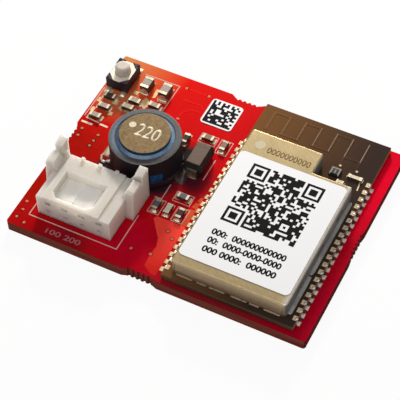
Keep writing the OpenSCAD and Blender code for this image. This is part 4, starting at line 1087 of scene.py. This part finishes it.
def solderRow(pieceName, node, side):
    plan = edgeSolder
    (_, ly, _), (_, hy, _) = boxOf(node)
    moduleLow, moduleHigh = boxOf("module_board")
    edge = (moduleLow if side < 0 else moduleHigh)[0]
    top = moduleHigh[2]
    length = hy - ly - plan["pin"]
    count = round(length / plan["pitch"]) + 1
    beadX, beadY, beadZ = plan["bead"]
    rng = random.Random(plan["seed"] + side)
    bm = bmesh.new()
    for i in range(count):
        y = ly + plan["pin"] / 2 + i * length / (count - 1)
        swell = rng.uniform(*plan["swell"])
        reach = plan["reach"][side] * swell
        height = plan["height"] * rng.uniform(*plan["rise"])
        addFillet(bm, edge, y, (side, 0), plan["pin"], reach, height, landTop)
        # bead that fills the half hole and wets the pad
        addBead(bm, edge - side * plan["beadIn"], y, top - plan["beadDrop"], beadX, beadY, beadZ * swell)
    piece = addPiece(pieceName, bm, plan["finish"][side], smooth=True)
    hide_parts(node)


solderRow("edge_solder_left", "module_solder_left", -1)
solderRow("edge_solder_right", "module_solder_right", 1)
# a dark strip beside the right-hand contacts: painted shade under the module's right edge
(_, shadeStripFront, _), (_, shadeStripBack, _) = boxOf("module_solder_right")
moduleRight = boxOf("module_board")[1][0]
shadeStripOutline = rectangle(moduleRight, shadeStripFront, moduleRight + edgeShadeStrip["reach"], shadeStripBack)
addPlates("edge_shade_strip", [shadeStripOutline], 0.0, edgeShadeStrip["thick"], "paintedShadeMetal")


# solder of the chips and of the leads

chipJoint = {"reach": 0.27, "feedReach": 0.15, "wider": 1.04, "rise": 0.62}
leadJoints = {
    "inductorLeft": {"reach": 1.05, "height": 0.62},
    "inductorRight": {"back": 0.5, "width": 0.9, "reach": 0.8, "height": 0.5},
    "contact": {"reach": 0.07, "sideReach": 0.12, "sideBack": 0.3, "sideWidth": 0.5, "height": 0.25},
    "switchFoot": {"inset": 0.3, "width": 0.6, "reach": 0.32, "height": 0.15},
    "diode": {"reach": 0.28, "height": 0.55},
}


def chipSolder():
    bm = bmesh.new()
    for name in chipFinish:
        (lx, ly, lz), (hx, hy, hz) = boxOf(name)
        reach = chipJoint["feedReach" if "feed" in name else "reach"]
        height = chipJoint["rise"] * (hz - lz)
        for sign in (-1, 1):
            if longWay(name) == 0:
                place, out, width = (hx if sign > 0 else lx, (ly + hy) / 2), (sign, 0), hy - ly
            else:
                place, out, width = ((lx + hx) / 2, hy if sign > 0 else ly), (0, sign), hx - lx
            addFillet(bm, *place, out, width * chipJoint["wider"], reach, height, lz)
    addPiece("chip_solder", bm, "solder")


def leadSolder():
    bm = bmesh.new()
    joint = leadJoints["inductorLeft"]
    (lx, ly, _), (_, hy, _) = boxOf("inductor_terminal_left")
    addFillet(bm, lx, (ly + hy) / 2, (-1, 0), hy - ly, joint["reach"], joint["height"], landTop,
              across=14, steps=10)
    joint = leadJoints["contact"]
    for way in range(1, 5):
        (lx, _, _), (hx, hy, _) = boxOf("contact_%d" % way)
        addFillet(bm, (lx + hx) / 2, hy, (0, 1), hx - lx, joint["reach"], joint["height"], landTop)
        for sign, edge in ((-1, lx), (1, hx)):
            addFillet(bm, edge, hy - joint["sideBack"], (sign, 0), joint["sideWidth"], joint["sideReach"],
                      joint["height"], landTop)
    joint = leadJoints["switchFoot"]
    (lx, ly, _), (hx, hy, _) = boxOf("switch_feet")
    for x in (lx + joint["inset"], hx - joint["inset"]):
        for sign, y in ((-1, ly), (1, hy)):
            addFillet(bm, x, y, (0, sign), joint["width"], joint["reach"], joint["height"], landTop)
    addPiece("lead_solder", bm, "solder")

    # the right terminal's solder is painted dark: painted shade
    bm = bmesh.new()
    joint = leadJoints["inductorRight"]
    (_, ly, _), (hx, _, _) = boxOf("inductor_terminal_right")
    addFillet(bm, hx, ly + joint["back"], (1, 0), joint["width"], joint["reach"], joint["height"], landTop)
    addPiece("terminal_solder", bm, "paintedShadeMetal")

    bm = bmesh.new()
    joint = leadJoints["diode"]
    for name, sign in (("diode_lead_front", -1), ("diode_lead_back", 1)):
        (lx, ly, _), (hx, hy, _) = boxOf(name)
        end = hy if sign > 0 else ly
        addFillet(bm, (lx + hx) / 2, end, (0, sign), hx - lx, joint["reach"], joint["height"], landTop)
    addPiece("shaded_solder", bm, "paintedShadeSolder")


# uneven solder round the inductor's left terminal
straySolder = {
    "line": [(5.9, 16.5), (6.0, 15.7), (5.8, 15.0), (6.15, 14.3)], "width": 0.24, "thick": 0.06,
    "beads": [(6.55, 14.15), (7.15, 14.45)], "bead": (0.36, 0.24, 0.22),
}


def strayBeads():
    bm = bmesh.new()
    addRibbon(bm, straySolder["line"], straySolder["width"], 0.0, straySolder["thick"])
    addPiece("stray_solder", bm, "tanSheet")
    bm = bmesh.new()
    for x, y in straySolder["beads"]:
        addBead(bm, x, y, landTop, *straySolder["bead"])
    addPiece("stray_beads", bm, "brightSolder")


chipSolder()
leadSolder()
strayBeads()


# pale print on the carrier board

silkPrint = {
    "thick": 0.02, "line": 0.14, "frameLine": 0.11,
    "figures": "100 200", "figureBox": (5.4, 0.62, 5.0, 0.85), "figureWeight": 0.02,
}
silkLines = [
    [(2.12, 2.28), (14.97, 2.28), (14.97, 8.3)], [(2.12, 2.28), (2.12, 6.2)],
    [(4.2, 30.5), (9.55, 30.5), (9.5, 25.4)], [(0.28, 25.9), (0.28, 20.2)],
    [(16.4, 14.6), (16.4, 11.95), (15.4, 11.95)], [(19.85, 17.1), (19.85, 20.8)],
]
framedChips = {  # gap between a chip and the frame printed round it
    "divider_resistor": 0.42, "series_resistor": 0.42, "strap_resistor_1": 0.4, "strap_resistor_2": 0.4,
    "ripple_capacitor": 0.4,
}
bars = [
    ([(0.35, 19.2), (2.05, 19.2)], 0.32), ([(2.9, 19.72), (4.15, 19.66)], 0.3),
    ([(0.62, 20.02), (2.7, 19.86)], 0.16),
]


def boardPrint():
    thick = silkPrint["thick"]
    bm = bmesh.new()
    for line in silkLines:
        addRibbon(bm, line, silkPrint["line"], 0.0, thick)
    for name, gap in framedChips.items():
        (lx, ly, _), (hx, hy, _) = boxOf(name)
        corners = rectangle(lx - gap, ly - gap, hx + gap, hy + gap)
        addRibbon(bm, corners + [corners[0]], silkPrint["frameLine"], 0.0, thick)
    addPiece("board_print", bm, "silkInk")
    bm = bmesh.new()
    addWriting(bm, silkPrint["figures"], *silkPrint["figureBox"], 0.0, thick, silkPrint["figureWeight"])
    addPiece("board_figures", bm, "pinkInk")
    bm = bmesh.new()
    for line, width in bars:
        addRibbon(bm, line, width, 0.0, thick)
    addPiece("bar_print", bm, "creamInk")


boardPrint()


# copper under the mask of both sides, and the vias; each track is its points and its width

copper = {
    "thick": 0.018, "backThick": 0.009, "collar": (0.15, 0.32), "coveredCollar": (0.07, 0.2),
    "ring": (0.06, 0.19), "ringHeight": 0.03, "well": 0.08, "wellHeight": 0.012,
    "sides": 18, "coveredSides": 16, "wellSides": 14,
}
tracks = [
    ([(16.4, 9.4), (16.4, 8.3), (15.6, 7.5), (15.6, 3.6), (16.57, 3.24)], 0.3),
    ([(19.2, 4.5), (17.9, 3.24), (16.57, 3.24)], 0.25),
    ([(21.1, 12.26), (20.3, 12.26)], 0.3),
    ([(19.9, 13.2), (21.1, 13.53)], 0.3),
    ([(17.9, 13.2), (17.2, 13.2), (16.9, 12.9), (16.9, 11.4), (16.4, 11.0)], 0.3),
    ([(18.2, 15.8), (18.2, 14.6), (19.6, 14.2), (21.1, 14.8)], 0.5),
    ([(21.1, 17.34), (20.5, 17.34), (20.2, 17.0), (20.2, 15.6)], 0.25),
    ([(17.2, 21.9), (16.2, 22.4), (15.2, 22.7)], 0.4),
    ([(18.4, 23.6), (19.2, 24.2), (21.1, 23.7)], 0.3),
    ([(5.4, 26.8), (5.4, 25.9)], 0.6),
    ([(8.5, 26.8), (8.3, 25.9)], 0.6),
    ([(3.3, 24.7), (4.1, 23.9)], 0.3),
    ([(2.6, 22.2), (3.6, 22.2), (4.0, 22.9)], 0.3),
    ([(1.3, 25.8), (1.3, 24.9)], 0.3),
    ([(9.1, 25.4), (10.0, 24.5)], 0.5),
    ([(1.1, 18.04), (1.18, 16.8)], 0.4),
    ([(3.65, 17.89), (3.58, 16.78), (3.51, 15.81), (4.9, 15.81)], 0.5),
    ([(0.8, 4.0), (1.0, 2.64), (0.89, 1.32), (2.2, 0.88)], 0.35),
    ([(10.6, 30.6), (14.0, 30.6)], 0.3),
    ([(11.0, 28.6), (13.8, 28.6), (14.4, 28.0)], 0.3),
    ([(12.0, 25.2), (12.0, 26.4), (13.0, 27.4), (14.4, 27.4)], 0.3),
]
backTracks = [
    ([(16.57, 3.24), (16.57, 9.0), (13.0, 12.6), (13.0, 24.2), (12.0, 25.2)], 0.3),
    ([(19.24, 3.49), (19.24, 15.0), (14.0, 20.2), (14.0, 30.6)], 0.3),
    ([(3.51, 15.81), (6.0, 18.3), (6.0, 26.0), (10.6, 30.6)], 0.4),
    ([(20.6, 6.77), (20.6, 14.0), (22.2, 15.61), (41.15, 15.61)], 0.25),
    ([(19.56, 7.67), (19.9, 8.0), (19.9, 17.7), (21.4, 19.42), (41.15, 19.42)], 0.25),
    ([(1.18, 16.8), (2.2, 15.8), (2.2, 4.0), (1.0, 2.64)], 0.3),
    ([(1.1, 18.04), (1.9, 18.8), (1.9, 29.0), (3.5, 30.6), (10.6, 30.6)], 0.3),
]
vias = [
    (1.1, 18.04), (1.18, 16.8), (3.65, 17.89), (3.58, 16.78), (3.51, 15.81), (0.8, 4.0), (1.0, 2.64),
    (0.89, 1.32), (2.2, 0.88), (19.56, 7.67), (20.6, 6.77), (16.57, 3.24), (19.24, 3.49), (12.0, 25.2),
    (10.6, 30.6), (14.0, 30.6),
]
coveredVias = [(41.15, 24.5 - edgeSolder["pitch"] * i) for i in range(14)]
# painted pool of light on the red beside the radio module, and a painted strip of warm light behind it
paintedLightPool = [
    (16.92, 8.74), (17.91, 7.43), (18.9, 6.14), (19.35, 4.87), (19.2, 3.42), (19.33, 1.64), (20.6, 0.8),
    (21.3, 0.8), (21.3, 9.2), (17.2, 9.2),
]
paintedLightStrip = [(20.45, 9.25), (21.3, 9.25), (21.3, 14.4), (20.95, 14.4), (20.5, 12.4)]


def copperLayer(name, lines, low, high):
    bm = bmesh.new()
    for points, width in lines:
        addRibbon(bm, points, width, low, high)
    for x, y in vias:
        addRing(bm, x, y, *copper["collar"], low, high, copper["sides"])
    for x, y in coveredVias:
        addRing(bm, x, y, *copper["coveredCollar"], low, high, copper["coveredSides"])
    addPiece(name, bm, "maskedCopper")


def boardCopper():
    thick, backThick = copper["thick"], copper["backThick"]
    under = boxOf("carrier_board")[0][2]
    addPlates("painted_light_pool", [paintedLightPool], 0.0, thick / 2, "paintedPoolRed")
    addPlates("painted_light_strip", [paintedLightStrip], 0.0, thick / 2, "paintedStripRed")
    copperLayer("board_tracks", tracks, 0.0, thick)
    copperLayer("back_tracks", backTracks, under - backThick, under)
    bm = bmesh.new()
    for x, y in vias:
        addRing(bm, x, y, *copper["ring"], 0.0, copper["ringHeight"], copper["sides"])
        addRing(bm, x, y, *copper["ring"], under - thick, under, copper["sides"])
    addPiece("via_rings", bm, "tentedVia")
    # black discs in the vias stand for their open holes: painted shade of the holes
    bm = bmesh.new()
    for x, y in vias:
        for low in (0.0, under - copper["wellHeight"]):
            addDisc(bm, x, y, copper["well"], low, low + copper["wellHeight"], copper["wellSides"])
    addPiece("via_wells", bm, "blackInk")


boardCopper()


# print on the two labels: square codes of random cells, and rows of noughts

labelPrint = {
    "cells": 29, "pitch": 0.348, "left": 25.82, "front": 10.02, "fill": 0.68, "seed": 4, "thick": 0.012,
    "weight": 0.035,
}
labelRows = [
    ("000:  000000000000", 25.75, 7.5, 10.15, 0.98),
    ("00:  0000-0000-0000", 25.8, 6.12, 10.05, 0.98),
    ("000 0000:  000000", 25.8, 4.62, 10.03, 0.98),
]
smallCode = {"cells": 12, "margin": 0.25, "fill": 0.64, "seed": 21, "thick": 0.012}
markCells = 7  # cells across a corner mark


def labelCell(column, row, rng):
    far = labelPrint["cells"] - markCells
    for cornerColumn, cornerRow in ((0, far), (far, far), (0, 0)):
        c, r = column - cornerColumn, row - cornerRow
        if -1 <= c <= markCells and -1 <= r <= markCells:
            ring = max(abs(c - markCells // 2), abs(r - markCells // 2))
            return ring in (0, 1, 3)
    ring = max(abs(column - far), abs(row - markCells + 1))  # small mark in the fourth corner
    if ring <= 2:
        return ring != 1
    return rng.random() < labelPrint["fill"]


def smallCodeCell(column, row, rng):
    last = smallCode["cells"] - 1
    if column == 0 or row == 0:
        return True
    if row == last:
        return column % 2 == 0
    if column == last:
        return row % 2 == 0
    return rng.random() < smallCode["fill"]


def addCells(bm, plan, cellTest, left, front, pitch, low):
    cells = range(plan["cells"])
    rng = random.Random(plan["seed"])
    for row in cells:
        y = front + row * pitch
        filled = [cellTest(column, row, rng) for column in cells] + [False]
        start = None
        for column, isFilled in enumerate(filled):
            if isFilled and start is None:
                start = column
            elif not isFilled and start is not None:
                x = left + start * pitch
                run = (column - start) * pitch
                addPrism(bm, rectangle(x, y, x + run, y + pitch), low, low + plan["thick"])
                start = None


def canLabelPrint():
    plan = labelPrint
    low = topOf("module_label")
    bm = bmesh.new()
    addCells(bm, plan, labelCell, plan["left"], plan["front"], plan["pitch"], low)
    for words, x, y, width, height in labelRows:
        addWriting(bm, words, x, y, width, height, low, low + plan["thick"], plan["weight"])
    addPiece("label_print", bm, "blackInk")


def codeLabelPrint():
    margin = smallCode["margin"]
    (lx, ly, _), (hx, _, hz) = boxOf("code_label")
    pitch = (hx - lx - 2 * margin) / smallCode["cells"]
    bm = bmesh.new()
    addCells(bm, smallCode, smallCodeCell, lx + margin, ly + margin, pitch, hz)
    addPiece("code_print", bm, "blackInk")


canLabelPrint()
codeLabelPrint()


# marks on the inductor and the diode, rivets of the switch

inductorMark = {
    "figures": "220", "box": (-1.25, -0.85, 3.3, 2.15), "weight": 0.01, "thick": 0.015,
    "dot": (-2.1, 0.6, 0.48), "dotSides": 24,
}
diodeBand = {"inset": 0.36, "front": 0.95, "back": 0.5, "thick": 0.012}
rivets = {"inset": 0.22, "radius": 0.17, "height": 0.1, "sides": 16}


def inductorPrint():
    (lx, ly, _), (hx, hy, top) = boxOf("inductor_core")
    x, y = (lx + hx) / 2, (ly + hy) / 2
    high = top + inductorMark["thick"]
    dotX, dotY, radius = inductorMark["dot"]
    left, front, width, height = inductorMark["box"]
    bm = bmesh.new()
    addDisc(bm, x + dotX, y + dotY, radius, top, high, inductorMark["dotSides"])
    addWriting(bm, inductorMark["figures"], x + left, y + front, width, height, top, high,
               inductorMark["weight"])
    addPiece("inductor_mark", bm, "creamInk")


def diodePrint():
    (lx, _, _), (hx, hy, hz) = boxOf("diode_body")
    inset = diodeBand["inset"]
    band = rectangle(lx + inset, hy - diodeBand["front"], hx - inset, hy - diodeBand["back"])
    addPlates("diode_band", [band], hz, hz + diodeBand["thick"], "diodeMould")


def switchRivets():
    (lx, ly, _), (hx, hy, hz) = boxOf("switch_base")
    inset = rivets["inset"]
    bm = bmesh.new()
    for x in (lx + inset, hx - inset):
        for y in (ly + inset, hy - inset):
            addDisc(bm, x, y, rivets["radius"], hz, hz + rivets["height"], rivets["sides"])
    addPiece("switch_rivets", bm, "blackNylon")


inductorPrint()
diodePrint()
switchRivets()


# thin painted highlights along the edges of the antenna's upright lines, wider towards the right

antennaHighlightLines = {
    "first": 23.75, "pitch": 2.28, "count": 7, "front": 27.95, "back": 31.35, "width": 0.036, "wider": 0.0156,
    "sunk": 0.005, "proud": 0.01,
}


def addAntennaHighlights():
    plan = antennaHighlightLines
    top = topOf("antenna_trace")
    bm = bmesh.new()
    for i in range(plan["count"]):
        x = plan["first"] + plan["pitch"] * i
        width = plan["width"] + plan["wider"] * i
        addRibbon(bm, [(x, plan["front"]), (x, plan["back"])], width, top - plan["sunk"], top + plan["proud"])
    addPiece("antenna_edge_highlights", bm, "antennaEdgeHighlight")


addAntennaHighlights()


# pale frame on the feed filter, bare copper near it

filterFrame = {"inset": 0.16, "line": 0.2, "bar": 0.16, "barGap": 0.4, "thick": 0.012}
feedCopper = {
    "dots": ((35.3, 26.45), (37.65, 26.42)), "radius": 0.16, "dotHeight": 0.05, "dotSides": 16,
    "line": [(38.72, 25.0), (38.8, 24.4), (38.9, 23.5)], "width": 0.16, "thick": 0.03,
}


def feedMarks():
    inset, gap = filterFrame["inset"], filterFrame["barGap"]
    (lx, ly, _), (hx, hy, hz) = boxOf("feed_filter")
    high = hz + filterFrame["thick"]
    middle = (lx + hx) / 2
    corners = rectangle(lx + inset, ly + inset, hx - inset, hy - inset)
    bm = bmesh.new()
    addRibbon(bm, corners + corners[:2], filterFrame["line"], hz, high)
    addRibbon(bm, [(middle, ly + gap), (middle, hy - gap)], filterFrame["bar"], hz, high)
    addPiece("filter_frame", bm, "frameInk")

    top = topOf("module_board")
    bm = bmesh.new()
    for x, y in feedCopper["dots"]:
        addDisc(bm, x, y, feedCopper["radius"], top, top + feedCopper["dotHeight"], feedCopper["dotSides"])
    addRibbon(bm, feedCopper["line"], feedCopper["width"], top, top + feedCopper["thick"])
    addPiece("feed_copper", bm, "goldPad")


feedMarks()


# solder along the can's foot: short runs at the front, long ones at the right

canFoot = {
    "front": {"first": 1.1, "pitch": 1.5, "count": 10, "width": 0.75, "reach": 0.16, "height": 0.1},
    "right": {"runs": ((2.3, 8.6), (8.75, 21.4)), "reach": 0.4, "height": 0.26},
}


def canSolder():
    (lx, ly, _), (hx, _, _) = boxOf("shield_can")
    floor = topOf("module_board")
    plan = canFoot["front"]
    bm = bmesh.new()
    for i in range(plan["count"]):
        x = lx + plan["first"] + plan["pitch"] * i
        addFillet(bm, x, ly, (0, -1), plan["width"], plan["reach"], plan["height"], floor)
    # the front runs are painted darker: painted shade in front of the can
    addPiece("can_front_solder", bm, "paintedShadeSolder")
    plan = canFoot["right"]
    bm = bmesh.new()
    for front, back in plan["runs"]:
        addFillet(bm, hx, (front + back) / 2, (1, 0), back - front, plan["reach"], plan["height"], floor,
                  across=40, sharp=24)
    addPiece("can_right_solder", bm, "greySolder")


canSolder()


# disc and row of noughts etched in the can's top

canMarks = {
    "disc": (25.2, 23.3, 0.72), "discSides": 28, "figures": "0000000000", "box": (26.4, 22.45, 6.1, 1.0),
    "weight": 0.01, "thick": 0.01,
}


def canTopMarks():
    low = topOf("shield_can")
    high = low + canMarks["thick"]
    bm = bmesh.new()
    addDisc(bm, *canMarks["disc"], low, high, canMarks["discSides"])
    addPiece("can_disc", bm, "paleEtch")
    bm = bmesh.new()
    addWriting(bm, canMarks["figures"], *canMarks["box"], low, high, canMarks["weight"])
    addPiece("can_figures", bm, "etchedSheet")


canTopMarks()


# bare lands round the small parts in front of the switch

landPatches = {
    "thick": 0.045,
    "outlines": [
        [(3.75, 23.3), (4.0, 24.6), (4.75, 24.0), (4.45, 22.95)],
        [(5.95, 25.4), (6.4, 26.7), (7.4, 25.9), (7.05, 24.6)],
        [(7.1, 26.9), (6.9, 28.7), (7.45, 28.6), (7.5, 27.2)],
        [(0.8, 25.05), (0.95, 25.95), (1.75, 25.95), (1.75, 25.3)],
        [(2.75, 25.3), (2.85, 26.0), (3.5, 26.0), (3.5, 25.3)],
        [(4.3, 26.55), (4.35, 27.2), (5.0, 27.1), (5.0, 26.5)],
        [(8.0, 26.75), (8.0, 27.15), (9.3, 27.1), (9.3, 26.7)],
        [(0.45, 21.3), (0.5, 22.1), (1.0, 22.1), (1.0, 21.4)],
        [(0.45, 23.2), (0.5, 24.0), (0.95, 24.0), (0.95, 23.2)],
        [(3.0, 21.6), (3.0, 22.2), (3.55, 22.3), (3.6, 21.7)],
        [(2.55, 23.7), (2.6, 24.5), (3.35, 24.5), (3.3, 23.7)],
        [(4.25, 25.45), (4.3, 26.2), (5.2, 26.1), (5.15, 25.4)],
        [(4.75, 23.1), (4.8, 23.8), (5.7, 23.8), (5.65, 23.1)],
        [(1.9, 24.3), (1.95, 25.0), (2.45, 25.0), (2.45, 24.3)],
        [(2.0, 22.5), (2.05, 23.0), (3.0, 23.0), (2.95, 22.5)],
        [(1.2, 20.5), (1.2, 21.0), (2.2, 21.0), (2.2, 20.5)],
    ],
}
addPlates("land_patches", landPatches["outlines"], 0.0, landPatches["thick"], "amberLand")
